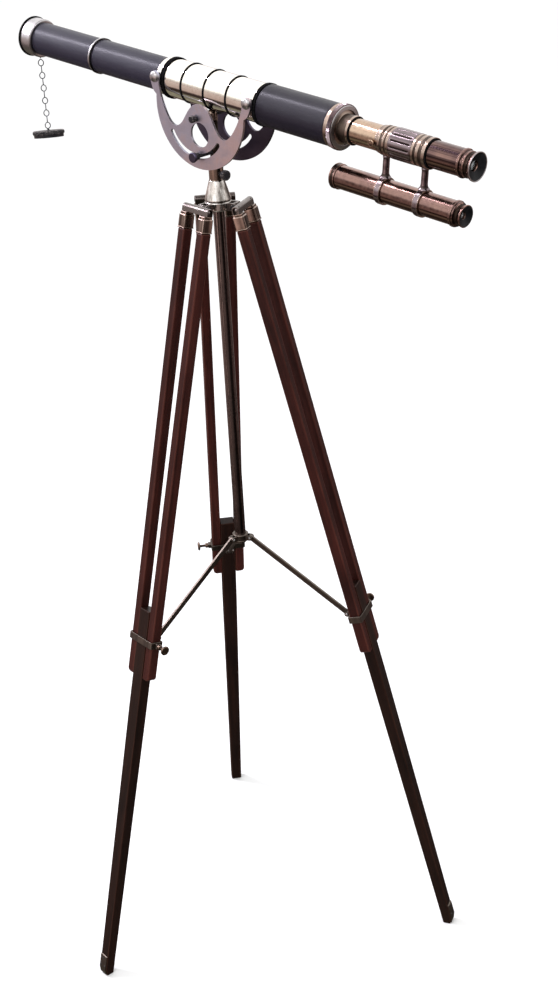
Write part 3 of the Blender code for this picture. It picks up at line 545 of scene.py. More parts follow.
def prism(outline, axis, low, high, width=0.5):
    """Extrude a flat outline in millimetres between two stations and round its edges."""

    def point(u, v, w):
        return Vector(on_axis(axis, w, u, v)) * MM

    bm = bmesh.new()
    face = bm.faces.new([bm.verts.new(point(u, v, low)) for u, v in outline])
    grown = bmesh.ops.extrude_face_region(bm, geom=[face])["geom"]
    lifted = [e for e in grown if isinstance(e, bmesh.types.BMVert)]
    bmesh.ops.translate(bm, vec=point(0, 0, high) - point(0, 0, low), verts=lifted)
    bmesh.ops.recalc_face_normals(bm, faces=bm.faces[:])
    return bevelled(bm, width) if width else bm


def arc(cx, cy, r, start, end, count):
    """Points on an arc, between two angles in degrees."""
    step = (end - start) / (count - 1)
    angles = [math.radians(start + step * k) for k in range(count)]
    return [(cx + r * math.cos(a), cy + r * math.sin(a)) for a in angles]


def skin(bm, rows, wear_of):
    """Faces between rows of points, closed both ways; wear_of(row, column) marks them."""
    wear = bm.faces.layers.float["wear"]
    count = len(rows[0])
    for j, one in enumerate(rows):
        two = rows[(j + 1) % len(rows)]
        for k in range(count):
            n = (k + 1) % count
            face = bm.faces.new((one[k], one[n], two[n], two[k]))
            face[wear] = wear_of(j, k)
    bmesh.ops.recalc_face_normals(bm, faces=bm.faces[:])
    return bm


def both_sides(inner, outer):
    """(low, high) stations on each side of the middle, the negative side first."""
    return [sorted((side * inner, side * outer)) for side in (-1, 1)]


def fork(outline, inner, outer, edge):
    """Two equal cheeks, one on each side of the middle plane."""
    cheeks = [prism(outline, "Y", low, high, edge) for low, high in both_sides(inner, outer)]
    return joined(*cheeks)


def moved(bm, matrix):
    bmesh.ops.transform(bm, matrix=matrix, verts=bm.verts)
    return bm


def joined(*parts):
    """Several shapes in one mesh, their wear marks kept."""
    total, _ = empty()
    for part in parts:
        mesh = bpy.data.meshes.new("part")
        part.to_mesh(mesh)
        part.free()
        total.from_mesh(mesh)
        bpy.data.meshes.remove(mesh)
    return total


def piece(name, bm, place, body, material, nodes=(), slot=None, smooth=42.0):
    """Finish a mesh as a named object that rides on a body and stands for CAD nodes."""
    mesh = bpy.data.meshes.new(name)
    bm.to_mesh(mesh)
    bm.free()
    for polygon in mesh.polygons:
        polygon.use_smooth = True
    mesh.set_sharp_from_angle(angle=math.radians(smooth))
    mesh.materials.append(material)
    ob = bpy.data.objects.new(name, mesh)
    bpy.context.scene.collection.objects.link(ob)
    ob.matrix_world = place
    weighted = ob.modifiers.new("flat_faces", "WEIGHTED_NORMAL")
    weighted.keep_sharp = True
    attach(ob, body)
    if nodes:
        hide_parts(*nodes)


def turned(name, profile, *rest, **named):
    """A piece turned about X, finely."""
    piece(name, lathe(profile), *rest, **named)


def screw_head(r, height):
    """Domed slotted screw head standing on z = 0."""
    dome = [(0, 0), (0, r), (0.45 * height, r), (height, 0.55 * r), (height * 1.05, 0)]
    cut = block((-1.2 * r, -0.13 * r, 0.55 * height), (1.2 * r, 0.13 * r, 2 * height), 0.0)
    return carve(lathe(dome, "Z", 24, 0.2), cut)


def carve(bm, cutter):
    """Cut one closed shape out of another, through temporary objects."""
    made = []
    for shape in (bm, cutter):
        mesh = bpy.data.meshes.new("carve")
        bmesh.ops.recalc_face_normals(shape, faces=shape.faces[:])
        shape.to_mesh(mesh)
        shape.free()
        ob = bpy.data.objects.new("carve", mesh)
        bpy.context.scene.collection.objects.link(ob)
        made.append(ob)
    mod = made[0].modifiers.new("cut", "BOOLEAN")
    mod.operation = "DIFFERENCE"
    mod.solver = "EXACT"
    mod.object = made[1]
    bpy.context.view_layer.update()
    seen = made[0].evaluated_get(bpy.context.evaluated_depsgraph_get())
    result = bpy.data.meshes.new_from_object(seen)
    for ob in made:
        bpy.data.objects.remove(ob, do_unlink=True)
    out = bmesh.new()
    out.from_mesh(result)
    bpy.data.meshes.remove(result)
    if out.faces.layers.float.get("wear") is None:
        out.faces.layers.float.new("wear")
    return out


# ------------------------------------------------------------------ tube
def build_cell():
    front = -434.5
    back = -407.0
    profile = [
        (front, 28.6), (front, 32.4), (front + 0.8, 33.0), (front + 2.6, 33.0),
        (front + 3.4, 32.2), (front + 3.4, 31.5), (front + 4.2, 31.5), (front + 4.4, 31.8),
        (back - 2.2, 31.8), (back - 1.8, 31.2), (back - 0.9, 31.2), (back, 30.0), (back, 25.1),
        (back - 8, 25.1), (back - 8, 27.2), (front + 9, 27.2), (front + 9, 28.6)]
    eye = lathe(
        [(-35.6, 0), (-35.6, 0.7), (-34.6, 1.0), (-33.4, 1.0), (-31, 1.8), (-31, 0)], "Z", 24, 0.2)
    eye = moved(eye, offset(CHAIN_X, 0, 0))
    piece("cell_ring", joined(lathe(profile, segments=96), eye), TUBE, "telescope", NICKEL,
          ["objective_cell"], "nickel")
    bead = lathe(ring(front - 0.3, front + 3.6, 31.0, 33.5), segments=96, radius=1.3)
    piece("cell_bead", bead, TUBE, "telescope", JAPAN, slot="black_lacquer")
    retainer = lathe(
        [(front + 1.5, 25.6), (front + 1.5, 28.4), (front + 4.4, 28.4), (front + 5.0, 26.2)],
        segments=96, radius=0.4)
    piece("cell_retainer", retainer, TUBE, "telescope", BORE, slot="black_lacquer")
    lens = [(front + 5.5, 0), (front + 5.55, 6), (front + 5.8, 12), (front + 6.6, 20),
            (front + 8.2, 26.9), (front + 11, 26.9), (front + 11, 0)]
    piece("front_lens", lathe(lens, segments=96, radius=0.2), TUBE, "telescope", LENS,
          ["objective_lens"], "lens_glass")


def build_barrel():
    back = -407.0
    barrel = [
        (back - 7.6, 23), (back - 7.6, 24.8), (-97, 24.8), (-97, 30.2), (-95.6, 30.7), (-87, 30.7),
        (-87, 29.9), (-78, 29.9), (-78, SLEEVE_R)]
    for start in SLEEVE_RINGS:
        barrel += [
            (start - 0.4, SLEEVE_R), (start - 0.4, 30.1), (start + 2.6, 30.1),
            (start + 2.6, SLEEVE_R)]
    barrel += [
        (114.2, SLEEVE_R), (114.2, 29.9), (121.8, 29.9), (258.7, 29.9), (258.7, 28.2), (125, 28.2),
        (125, 23)]
    turned("sleeve", barrel, TUBE, "telescope", SLEEVE, ["main_barrel"], "bright_sleeve")
    beads = [lathe(ring(-86.4, -83.2, 29.9, 33.0), radius=1.4),
             lathe(ring(-82.4, -78.6, 29.9, 33.0), radius=1.4),
             lathe(ring(114.8, 117.4, 29.9, 33.2), radius=1.2),
             lathe(ring(118.0, 121.6, 29.9, 33.4), radius=1.4)]
    beads += [lathe(ring(s - 0.2, s + 2.4, 30.1, 32.3), radius=1.0) for s in SLEEVE_RINGS]
    piece("sleeve_beads", joined(*beads), TUBE, "telescope", JAPAN, slot="bright_sleeve")

    for name, start, end in (("front", back + 0.3, -262.3), ("mid", -255.9, -97.3)):
        wrap = lathe(
            [(start, 25.1), (start, 26.6), (start + 1.2, 27.2), (end - 1.2, 27.2), (end, 26.6),
             (end, 25.1)], radius=0.5)
        piece(name + "_wrap", wrap, TUBE, "telescope", LEATHER, [name + "_leather"],
              "tube_leather")
    # The rear wrap takes the darker copy of the leather: painted shade.
    start, end = 122.1, 258.7
    wrap = lathe(
        [(start, 30.2), (start, 31.7), (start + 1.2, 32.3), (end - 1.2, 32.3), (end, 31.7),
         (end, 30.2)], radius=0.5)
    piece("rear_wrap", wrap, TUBE, "telescope", LEATHER_SHADED, ["rear_leather"], "tube_leather")
    band = [(-262.0, 25.1), (-262.0, 28.6), (-261.2, 29.4), (-258.9, 29.4), (-258.5, 28.7),
            (-257.9, 28.7), (-257.4, 29.0), (-256.2, 28.4), (-256.2, 25.1)]
    turned("joint_band", band, TUBE, "telescope", NICKEL, ["front_band"], "nickel")
    line = lathe(ring(-257.4, -256.1, 27.5, 29.4), radius=0.5)
    piece("joint_line", line, TUBE, "telescope", JAPAN, slot="black_lacquer")


def build_flange():
    flange = [
        (259.3, 25), (259.3, 32.4), (260.2, 33.3), (265.6, 33.3), (266.2, 32.9), (266.6, 32.9),
        (266.6, 31.0), (274.4, 31.0), (274.6, 26.0), (275.6, 22.6), (276.4, 21.2), (291.6, 21.2),
        (292.2, 21.8), (296, 21.8), (296.4, 21.4), (296.4, 19.3), (262, 19.3), (262, 25)]
    turned("flange", flange, TUBE, "telescope", ROSE, ["rear_flange"], "polished_brass")
    knurl = [(266.8, 31.2), (266.8, 34.0), (267.4, 34.5), (273.2, 34.6), (273.9, 34.0),
             (274.0, 33.0), (274.5, 31.2)]
    piece("flange_knurl", lathe(knurl, segments=300, radius=0.25, teeth=(266.9, 273.8, 0.7, 33.9)),
          TUBE, "telescope", GRIP, slot="polished_brass")
    # Black ring where the flange meets the draw tube: painted shadow in the gap.
    line = lathe(ring(296.5, 297.7, 19.3, 21.0), radius=0.4)
    piece("flange_gap_shadow", line, TUBE, "telescope", JAPAN, slot="black_lacquer")
    step = [(274.6, 26.2), (274.6, 32.6), (275.4, 32.0), (276.3, 27.0), (276.3, 26.2)]
    turned("flange_step", step, TUBE, "telescope", NICKEL, slot="nickel")


def grip_mesh():
    """Fluted grip: long rounded grooves that end short of both rims."""
    start, end = 366.3, 408.0
    outer, inner = 23.0, 19.3
    flutes = 14
    per = 16                    # points round each flute
    count = flutes * per
    stations = [0.0, 0.15, 1.0, 2.2, 2.9, 3.8, 5.0, 6.5]
    length = end - start
    middle = [length / 2 - 8, length / 2, length / 2 + 8]
    xs = stations + middle + [length - s for s in reversed(stations)]
    bm, _ = empty()

    def row_of(x, radius_of):
        row = []
        for k in range(count):
            r = radius_of((k % per) / per)
            a = 2 * math.pi * k / count
            row.append(bm.verts.new((x * MM, r * math.cos(a) * MM, r * math.sin(a) * MM)))
        return row

    rows = []
    for x in xs:
        edge = min(x, length - x)
        fade = max(0.0, min(1.0, (edge - 2.2) / 2.4))
        fade = fade * fade * (3 - 2 * fade)
        drop = 0.5 if edge < 0.1 else (0.12 if edge < 0.5 else 0.0)

        def fluted(phase):
            groove = max(0.0, 1 - min(phase, 1 - phase) / 0.16)
            ripple = 0.12 * math.cos(2 * math.pi * phase)
            return outer - drop - fade * (2.1 * groove ** 1.3 + ripple)

        rows.append(row_of(start + x, fluted))
    rows += [row_of(x, lambda phase: inner) for x in (end, start)]

    def wear_of(j, k):
        phase = (k % per) / per
        near = min(phase, 1 - phase)
        if not 3 < j < len(xs) - 4:
            return 0.0
        return -1.0 if near < 0.07 else (0.8 if near < 0.2 else 0.0)

    return skin(bm, rows, wear_of)


def build_draw():
    tube = [(180, 17.2), (180, 19.0), (418, 19.0), (418, 17.2)]
    turned("draw", tube, DRAW, "draw", BRASS, ["draw_tube"], "polished_brass")
    front = [(340.5, 19.3), (340.5, 20.3), (341.2, 20.7), (346.6, 20.7), (347.0, 21.2),
             (347.2, 22.0), (350.2, 22.0), (350.6, 21.0), (354.6, 21.0), (355.0, 22.3),
             (358.6, 22.3), (359.0, 21.3), (361.6, 21.3), (362.0, 22.6), (366, 22.6), (366, 19.3)]
    collar = lathe(front)
    piece("front_collar", collar, DRAW, "draw", ROSE, ["collar_front"], "pink_brass")
    rear = [(408.3, 19.3), (408.3, 22.7), (412.3, 22.9), (412.7, 22.0), (416.3, 22.0),
            (416.7, 22.9), (421.3, 22.9), (421.7, 22.2), (427.3, 22.2), (427.7, 23.0), (433, 23.0),
            (433, 20.5), (418.4, 20.5), (418.4, 19.3)]
    turned("rear_collar", rear, DRAW, "draw", ROSE, ["collar_rear"], "pink_brass")
    # Black ring between the rear collar and the eyepiece tube: painted shadow in the gap.
    gap_shadow = lathe(ring(433.1, 434.9, 20.4, 21.8), radius=0.5)
    piece("rear_collar_gap_shadow", gap_shadow, DRAW, "draw", JAPAN, slot="black_lacquer")
    heads = []
    for angle in (-160, -118, -35, 50):
        turn = Matrix.Rotation(math.radians(angle), 4, "X")
        for station, r in ((352.6, 20.9), (424.5, 22.1)):
            spot = turn @ offset(station, 0, r)
            heads.append(moved(screw_head(1.5, 1.1), spot))
    piece("collar_screws", joined(*heads), DRAW, "draw", BRASS, slot="polished_brass")
    piece("grip", grip_mesh(), DRAW, "focus_ring", GRIP, ["focus_grip"], "dark_grip")

    z = axis_of("draw_stop_turn")
    stop = basis(point_of("draw_stop_turn"), ALONG, z.cross(ALONG))
    knob = [(19.3, 0), (19.3, 2.4), (22.4, 2.4), (22.6, 4.6), (23.0, 5.3), (24.8, 5.4),
            (25.2, 4.6), (24.9, 3.6), (25.3, 0)]
    piece("stop_knob", lathe(knob, "Z", 64), stop, "draw_stop", BRASS, ["stop_screw"],
          "polished_brass")

    eye = [(398, 15.2), (398, 16.9), (434, 16.9), (434, 20.1), (486.0, 20.1), (487.5, 20.0),
           (487.5, 17.4), (440, 17.4), (438, 15.2)]
    turned("eye_tube", eye, DRAW, "eyepiece", COPPER, ["eyepiece_tube"], "bronze")
    cup = [(487.8, 9), (487.8, 20.9), (488.4, 21.4), (490.8, 21.4), (491.6, 20.9), (492.6, 18.6),
           (494.4, 18.4), (495.6, 18.4), (496.2, 19.5), (499.0, 19.5), (499.6, 17.8),
           (503.0, 17.8), (505.6, 19.0), (508.5, 21.3), (510.4, 21.6), (511, 21.2), (511, 20.0),
           (508.2, 15.4), (505.6, 9.4), (505.0, 8.2), (503.8, 7.6), (502.0, 7.8), (502.0, 9)]
    turned("cup", cup, DRAW, "eyepiece", COPPER, ["eyecup"], "bronze")
    inside = [
        (505.2, 8.0), (505.9, 9.3), (508.5, 15.3), (511.15, 19.4), (511.3, 19.9), (511.0, 20.1),
        (507.9, 15.7), (505.0, 9.6)]
    piece("cup_lining", lathe(inside, radius=0.2), DRAW, "eyepiece", BORE, slot="black_lacquer")
    rim = lathe(ring(510.3, 511.5, 20.0, 21.7), radius=0.4)
    piece("cup_rim", rim, DRAW, "eyepiece", NICKEL, slot="nickel")
    lens = [(493, 0), (493, 8.7), (499, 8.7), (501.0, 5.4), (501.6, 2.5), (501.8, 0)]
    piece("rear_lens", lathe(lens, segments=64), DRAW, "eyepiece", LENS, ["eye_lens"],
          "lens_glass")


def build_finder():
    tube = [(266.3, 16.2), (266.3, 18), (479.6, 18), (479.6, 16.2)]
    piece("sight_tube", lathe(tube, segments=96), FINDER, "draw", COPPER, ["finder_tube"],
          "bronze")
    cell = [(256, 15), (256, 18.9), (256.8, 19.7), (258.6, 19.7), (259.2, 19.2), (263.6, 19.2),
            (264.2, 19.6), (265.2, 19.4), (266, 18.8), (266, 15.0)]
    piece("sight_cell", lathe(cell, segments=96), FINDER, "draw", COPPER, ["finder_cell"],
          "bronze")
    lens = [(259, 0), (259.2, 5), (259.8, 10), (261, 14.7), (263, 14.7), (263, 0)]
    piece("sight_lens", lathe(lens, segments=64, radius=0.2), FINDER, "draw", LENS,
          ["finder_lens"], "lens_glass")
    reach = 1000 * (TUBE.translation - FINDER.translation).length
    for name, x, clear in (("front", 349.4, 22.5), ("rear", 421.0, 23.4)):
        band = lathe(
            [(x - 4.5, 18.3), (x - 4.5, 20.3), (x - 3.7, 20.9), (x + 3.7, 20.9), (x + 4.5, 20.3),
             (x + 4.5, 18.3)], segments=96)
        top = reach - clear
        post = [(19.6, 0), (19.6, 8.4), (20.8, 8.6), (22.0, 7.8), (23.5, 6.4), (26.0, 5.5),
                (30, 5.2), (top - 4, 5.1), (top - 3, 5.6), (top - 1.2, 5.8), (top, 5.3), (top, 0)]
        shaft = moved(lathe(post, "Z", 64, 0.4), offset(x, 0, 0))
        piece("sight_clamp_" + name, joined(band, shaft), FINDER, "draw", GRIP,
              ["finder_clamp_" + name], "bronze")
        edges = [
            lathe(ring(x + low, x + high, 18.25, 20.6), segments=96, radius=0.4)
            for low, high in both_sides(4.2, 5.0)]
        piece("sight_clamp_edge_" + name, joined(*edges), FINDER, "draw", ROSE, slot="bronze")
    eye = [(466, 14.4), (466, 15.9), (480, 15.9), (480, 19.2), (480.6, 19.6), (483.8, 19.6),
           (484.4, 19.0), (484.8, 18.2), (487.0, 18.2), (488.4, 15.2), (489.5, 14.2), (492, 14.2),
           (494.5, 15.2), (496.8, 16.5), (498.4, 16.7), (499, 16.3), (499, 15.2), (496.6, 11.0),
           (494.6, 6.4), (494, 5.2), (482, 5.2)]
    piece("sight_eyepiece", lathe(eye, segments=96), FINDER, "finder_focus", COPPER,
          ["finder_eyepiece"], "bronze")
    inside = [
        (494.5, 5.4), (495.1, 6.5), (497.1, 11.2), (499.15, 14.6), (499.2, 15.3), (498.8, 15.0),
        (496.6, 11.4), (494.4, 6.6)]
    piece("sight_lining", lathe(inside, segments=96, radius=0.1), FINDER, "finder_focus", BORE,
          slot="black_lacquer")
    plug = lathe([(484, 0), (484, 5.3), (490, 5.3), (491.2, 3), (491.4, 0)], segments=48)
    piece("sight_eye_lens", plug, FINDER, "finder_focus", LENS, slot="lens_glass")


# ------------------------------------------------------------------ yoke
def plate_mesh(outline, holes, low, high, edge):
    """Flat plate in the XZ plane with holes and rounded edges, from closed outlines."""
    bm = prism(outline, "Y", low, high, 0.0)
    for hole in holes:
        bm = carve(bm, prism(hole, "Y", low - 1, high + 1, 0.0))
    bmesh.ops.remove_doubles(bm, verts=bm.verts[:], dist=1e-6)
    bmesh.ops.dissolve_limit(
        bm, angle_limit=math.radians(0.5), verts=bm.verts[:], edges=bm.edges[:])
    return bevelled(bm, edge, 2, 50)


def smooth_path(points):
    """Catmull-Rom curve through the points, ends held."""
    steps = 5
    full = [points[0]] + points + [points[-1]]
    out = []
    for k in range(1, len(full) - 2):
        p0, p1, p2, p3 = (Vector(p) for p in full[k - 1:k + 3])
        for j in range(steps):
            t = j / steps
            q = 0.5 * (
                2 * p1 + (p2 - p0) * t + (2 * p0 - 5 * p1 + 4 * p2 - p3) * t * t
                + (3 * p1 - p0 - 3 * p2 + p3) * t ** 3)
            out.append((q.x, q.y))
    return out + [points[-1]]


def anchor_outline():
    """Outline of the yoke plate: centre lobe, two waists, two horns, one large arc."""
    inner = [(0, 23.5), (9, 22.0), (16, 18.0), (23, 11), (29, 2), (37, -10.5), (44, -17.5),
             (52, -20.5), (61, -18.5), (70, -10), (79, 4), (86, 19), (90.5, 33), (91.6, 42)]
    horn = arc(HORN_X, HORN_Z, 9.0, 190, 0, 16)
    low = arc(0, 17, 96, 2, -90, 48)
    shoulder = smooth_path([horn[-1], (108.5, 38), (103, 26), low[0]])
    right = smooth_path(inner)[1:] + horn + shoulder[1:-1] + low
    left = [(-x, z) for x, z in reversed(right[:-1])]
    return [(x + PLATE_X, z) for x, z in [(0, 23.5)] + right + left]


def slot_outline():
    """Curved slot under the pivot, with round ends."""
    turn = 57.5                 # degrees to each side
    half = 4.0
    end = math.radians(-90 + turn)
    x = SLOT_R * math.cos(end)
    z = SLOT_R * math.sin(end)
    slot = arc(0, 0, SLOT_R + half, -90 - turn, -90 + turn, 41)
    slot += arc(x, z, half, -90 + turn, 90 + turn, 11)[1:-1]
    slot += arc(0, 0, SLOT_R - half, -90 + turn, -90 - turn, 41)
    slot += arc(-x, z, half, 90 - turn, 270 - turn, 11)[1:-1]
    return slot


def build_yoke():
    holes = [arc(HOLE_X, -24.5, 19.5, 0, 352.5, 48), arc(0, 0, 4.3, 0, 345, 24), slot_outline()]
    # The far plate takes the near-black copy of the plate metal: painted shade.
    for name, side, finish in (("near", -1, PLATE), ("far", 1, DARK_FACE_AND_SHADED_PLATE)):
        low, high = sorted((side * PLATE_IN, side * PLATE_OUT))
        plate = plate_mesh(anchor_outline(), holes, low, high, 0.5)
        piece("anchor_plate_" + name, plate, YOKE, "telescope", finish, ["yoke_plate_" + name],
              "brushed_plate", smooth=30)
        domes = []
        spacers = []
        for x in (-HORN_X, HORN_X):
            shift = offset(PLATE_X + x, 0, HORN_Z)
            dome = [(PLATE_OUT - 0.2, 0), (PLATE_OUT - 0.2, 8.6), (PLATE_OUT + 1.6, 8.7),
                    (PLATE_OUT + 3.4, 7.4), (PLATE_OUT + 4.7, 4.4), (PLATE_OUT + 5.2, 1.5),
                    (PLATE_OUT + 5.2, 0)]
            domes.append(moved(lathe([(side * s, r) for s, r in dome], "Y", 48, 0.9), shift))
            spacer = [
                (SLEEVE_R - 1.6, 0), (SLEEVE_R - 1.6, 6.0), (SLEEVE_R + 0.8, 6.2),
                (PLATE_IN - 0.6, 8.3), (PLATE_IN + 0.1, 8.3), (PLATE_IN + 0.1, 0)]
            spacers.append(moved(lathe([(side * s, r) for s, r in spacer], "Y", 48, 0.5), shift))
        piece("horn_caps_" + name, joined(*domes), YOKE, "telescope", NICKEL, slot="brushed_plate")
        piece("horn_spacers_" + name, joined(*spacers), YOKE, "telescope", BLACK,
              slot="black_lacquer")

    face = PLATE_OUT
    bolt = [(-face - 10, 0), (-face - 10, 4.6), (-face - 9.4, 5.6), (-face - 7.4, 5.8),
            (-face - 6.8, 5.3), (-face - 6.2, 5.8), (-face - 2.5, 5.8), (-face - 1.6, 5.0),
            (-face - 0.3, 5.0), (-face - 0.3, 3.6), (face + 0.3, 3.6), (face + 0.3, 6.5),
            (face + 4, 6.5), (face + 5, 5.5), (face + 5, 0)]
    piece("pivot_knob", lathe(bolt, "Y", 48), MOUNT, "pivot_screw", BLACK, ["pivot_bolt"],
          "black_lacquer")
    low = MOUNT @ offset(0, 0, -SLOT_R)
    clamp = [(-face - 13, 0), (-face - 13, 6.0), (-face - 12.3, 7.0), (-face - 10.5, 7.2),
             (-face - 6.5, 7.2), (-face - 6, 5.6), (-face - 0.3, 5.6), (-face - 0.3, 3.4),
             (face + 0.3, 3.4), (face + 0.3, 6.5), (face + 4, 6.5), (face + 5, 5.5), (face + 5, 0)]
    piece("clamp_bolt", lathe(clamp, "Y", 48), low, "tilt_clamp", BLACK, ["tilt_clamp_bolt"],
          "black_lacquer")
    disc = lathe(
        [(-face - 13.3, 0), (-face - 13.3, 7.2), (-face - 12.4, 8.2), (-face - 9.6, 8.2),
         (-face - 9.0, 7.2), (-face - 9.0, 0)], "Y", 48, 0.5)
    piece("clamp_bolt_face", disc, low, "tilt_clamp", DARK_FACE_AND_SHADED_PLATE, slot="black_lacquer")

    foot = PILLAR_FOOT_Z - PIVOT_Z
    neck = NECK_TOP_Z - PIVOT_Z
    r = 7.6
    pillar = [
        (foot, 0), (foot, r), (neck + 0.4, r), (neck + 0.4, 10.0), (neck + 3.4, 10.0),
        (neck + 4.2, 9.0), (neck + 5.4, 7.8), (-12, r), (-9, 8.4), (2.0, 8.2), (5.0, 6.6),
        (7.0, 3.6), (7.6, 0)]
    piece("post", lathe(pillar, "Z", 64), MOUNT, "mount", BRASS_Z, ["pillar"], "polished_brass")


# ------------------------------------------------------------------ head
def on_each_leg(make):
    """The same shape, made anew and turned towards each leg."""
    turns = []
    for key in LEGS:
        out = point_of("leg_fold_" + key) - point_of("pan")
        turns.append(Matrix.Rotation(math.atan2(out.y, out.x), 4, "Z"))
    return joined(*[moved(make(), turn) for turn in turns])


def build_head():
    # Above the shoulder the profile dips to the bore and back, out of sight in the neck.
    cone = [(1362, 0), (1362, 20.2), (1364, 22.0), (1375, 22.0), (1376.4, 20.8), (1377.4, 20.8),
            (1378.4, 21.6), (1380.5, 21.4), (1409, 12.9), (1410, 12.4), (1402, 7.9),
            (1410.4, 12.2), (1410.4, 7.9), (1402, 0)]
    piece("cone", lathe(cone, "Z", 96), HEAD, "head", NICKEL_Z, ["head_cone"], "nickel")
    neck = [(1410.6, 7.9), (1410.6, 12.3), (1411.4, 12.3), (1412.0, 12.0), (1431.6, 12.0),
            (1433, 11.6), (1434, 10.8), (1434, 7.9)]
    piece("neck", lathe(neck, "Z", 96), HEAD, "head", BRASS_Z, slot="polished_brass")

    cheek = [(12, 1362), (12, 1374.5), (29, 1374.5)]
    cheek += arc(HINGE_R, HINGE_Z, 6.3, 80, -80, 9) + [(29, 1362)]
    lugs = on_each_leg(lambda: fork(cheek, 6.5, 10.5, 0.5))
    piece("hub_lugs", lugs, HEAD, "head", CROSSBAR, slot="nickel")
    for key in LEGS:
        pin = [(-14.6, 0), (-14.6, 3.8), (-13.4, 5), (-10.8, 5), (-10.8, 2.9), (10.8, 2.9),
               (10.8, 5), (13.4, 5), (14.6, 3.8), (14.6, 0)]
        fold = axis_of("leg_fold_" + key)
        place = basis(point_of("leg_fold_" + key), fold.cross(UP), fold)
        piece("hinge_bolt_" + key, lathe(pin, "Y", 32), place, "head", BLACK, ["hinge_pin_" + key],
              "black_lacquer")

    column = [
        (COLUMN_END, 0), (COLUMN_END, 8.7), (COLUMN_END + 1, 9.5), (1361.5, 9.5), (1361.5, 0)]
    piece("column", lathe(column, "Z", 64), HEAD, "head", COLUMN, ["centre_column"], "dark_brass")

    out = axis_of("pan_lock_turn")
    lock = basis(point_of("pan_lock_turn"), out, UP.cross(out))
    knob = [(12.2, 0), (12.2, 4.6), (14.6, 4.6), (15.2, 3.2), (19.5, 3.2), (20.3, 6), (21.3, 7.8),
            (22.2, 8.3), (28, 8.3), (29.2, 7.3), (29.5, 5.8), (29.2, 5.4), (29.2, 0)]
    piece("lock_knob", lathe(knob, "X", 64), lock, "pan_lock", BLACK, ["pan_lock_knob"],
          "black_lacquer")


# ------------------------------------------------------------------ legs
def rail_mesh(side):
    """Upper rail with softly rounded long edges and a rounded lower end."""
    shift = (RAIL_PITCH_TOP - RAIL_PITCH_LOW) / 2
    inner = RAIL_PITCH_LOW / 2 - RAIL_W / 2
    outer = inner + RAIL_W
    top, end, r = -35.3, -814.0, 7.0
    shape = [(inner, LOWER_TOP), (inner + shift, top), (outer + shift, top), (outer, LOWER_TOP)]
    shape += arc(outer - r, end + r, r, 0, -90, 9)
    shape += [(inner, end)]
    bm = prism([(side * y, z) for y, z in shape], "X", LEG_X - RAIL_D / 2, LEG_X + RAIL_D / 2, 0.0)
    return bevelled(bm, 2.2, 4, 50)


def toe_z(x):
    """Height of the floor in a leg's frame, at this x."""
    splay = math.acos(LEG["a"].col[2].z)
    return -(1000 * LEG["a"].translation.z + x * math.sin(splay)) / math.cos(splay)


def lower_leg_mesh():
    half = LOWER_D / 2
    toe = TOE_D / 2
    cut = 5.0
    side = [(LEG_X - half, LOWER_TOP), (LEG_X + half, LOWER_TOP), (LEG_X + half, TAPER_FROM),
            (LEG_X + toe, toe_z(LEG_X + toe) + TOE_H), (LEG_X + toe - cut,
            toe_z(LEG_X + toe - cut)), (LEG_X - toe, toe_z(LEG_X - toe)),
            (LEG_X - half, TAPER_FROM)]
    bm = prism(side, "Y", -LOWER_W / 2, LOWER_W / 2, 0.0)
    for v in bm.verts:
        if v.co.z < (TAPER_FROM - 10) * MM:
            v.co.y *= TOE_W / LOWER_W
    return bevelled(bm, 1.3, 3, 18)


def crossbar_mesh():
    """Arched bar, hollow at both ends, with bevelled end faces."""
    low, high = 6.3, 18.3
    mid = (low + high) / 2
    r = (high - low) / 2
    outline = [(high, -8.0)] + arc(mid, 5.0 - r, r, 0, 180, 17) + [(low, -8.0)]
    bm = prism(outline, "Y", -33.5, 33.5, 0.7)
    wall = 1.7
    inner = [(high - wall, -9.0)] + arc(mid, 5.0 - r, r - wall, 0, 180, 13) + [(low + wall, -9.0)]
    for start, end in both_sides(27.5, 40.0):
        bm = carve(bm, prism(inner, "Y", start, end, 0.0))
    return bm


def ferrule_mesh(side):
    """Four-sided cap with rounded corners, a rolled lower rim and a stepped top."""
    y = side * RAIL_PITCH_TOP / 2
    w = RAIL_W / 2 + 0.8
    d = RAIL_D / 2 + 0.8
    body = block((LEG_X - d, y - w, -34.8), (LEG_X + d, y + w, -11.5), 2.6)
    rim = block(
        (LEG_X - d - 0.12, y - w - 0.12, -35.0), (LEG_X + d + 0.12, y + w + 0.12, -32.8), 0.9)
    step = block((LEG_X - d + 1.6, y - w + 1.6, -12.0), (LEG_X + d - 1.6, y + w - 1.6, -8.0), 1.2)
    return joined(body, rim, step)


def band_mesh():
    """Strap round both rails, in one loop with rounded corners."""
    y = RAIL_PITCH_LOW / 2 + RAIL_W / 2 + 0.3
    x = LOWER_D / 2 + 0.3
    t = 2.0

    def loop(dx, dy, r):
        points = []
        for k, (sx, sy) in enumerate(((1, 1), (-1, 1), (-1, -1), (1, -1))):
            centre = LEG_X + sx * (dx - r)
            points += arc(centre, sy * (dy - r), r, 90 * k, 90 * k + 90, 6)
        return points

    outer = prism(loop(x + t, y + t, 2.6), "Z", BAND_Z - 6.0, BAND_Z + 6.0, 0.5)
    hole = prism(loop(x, y, 0.8), "Z", BAND_Z - 9.0, BAND_Z + 9.0, 0.0)
    return carve(outer, hole)


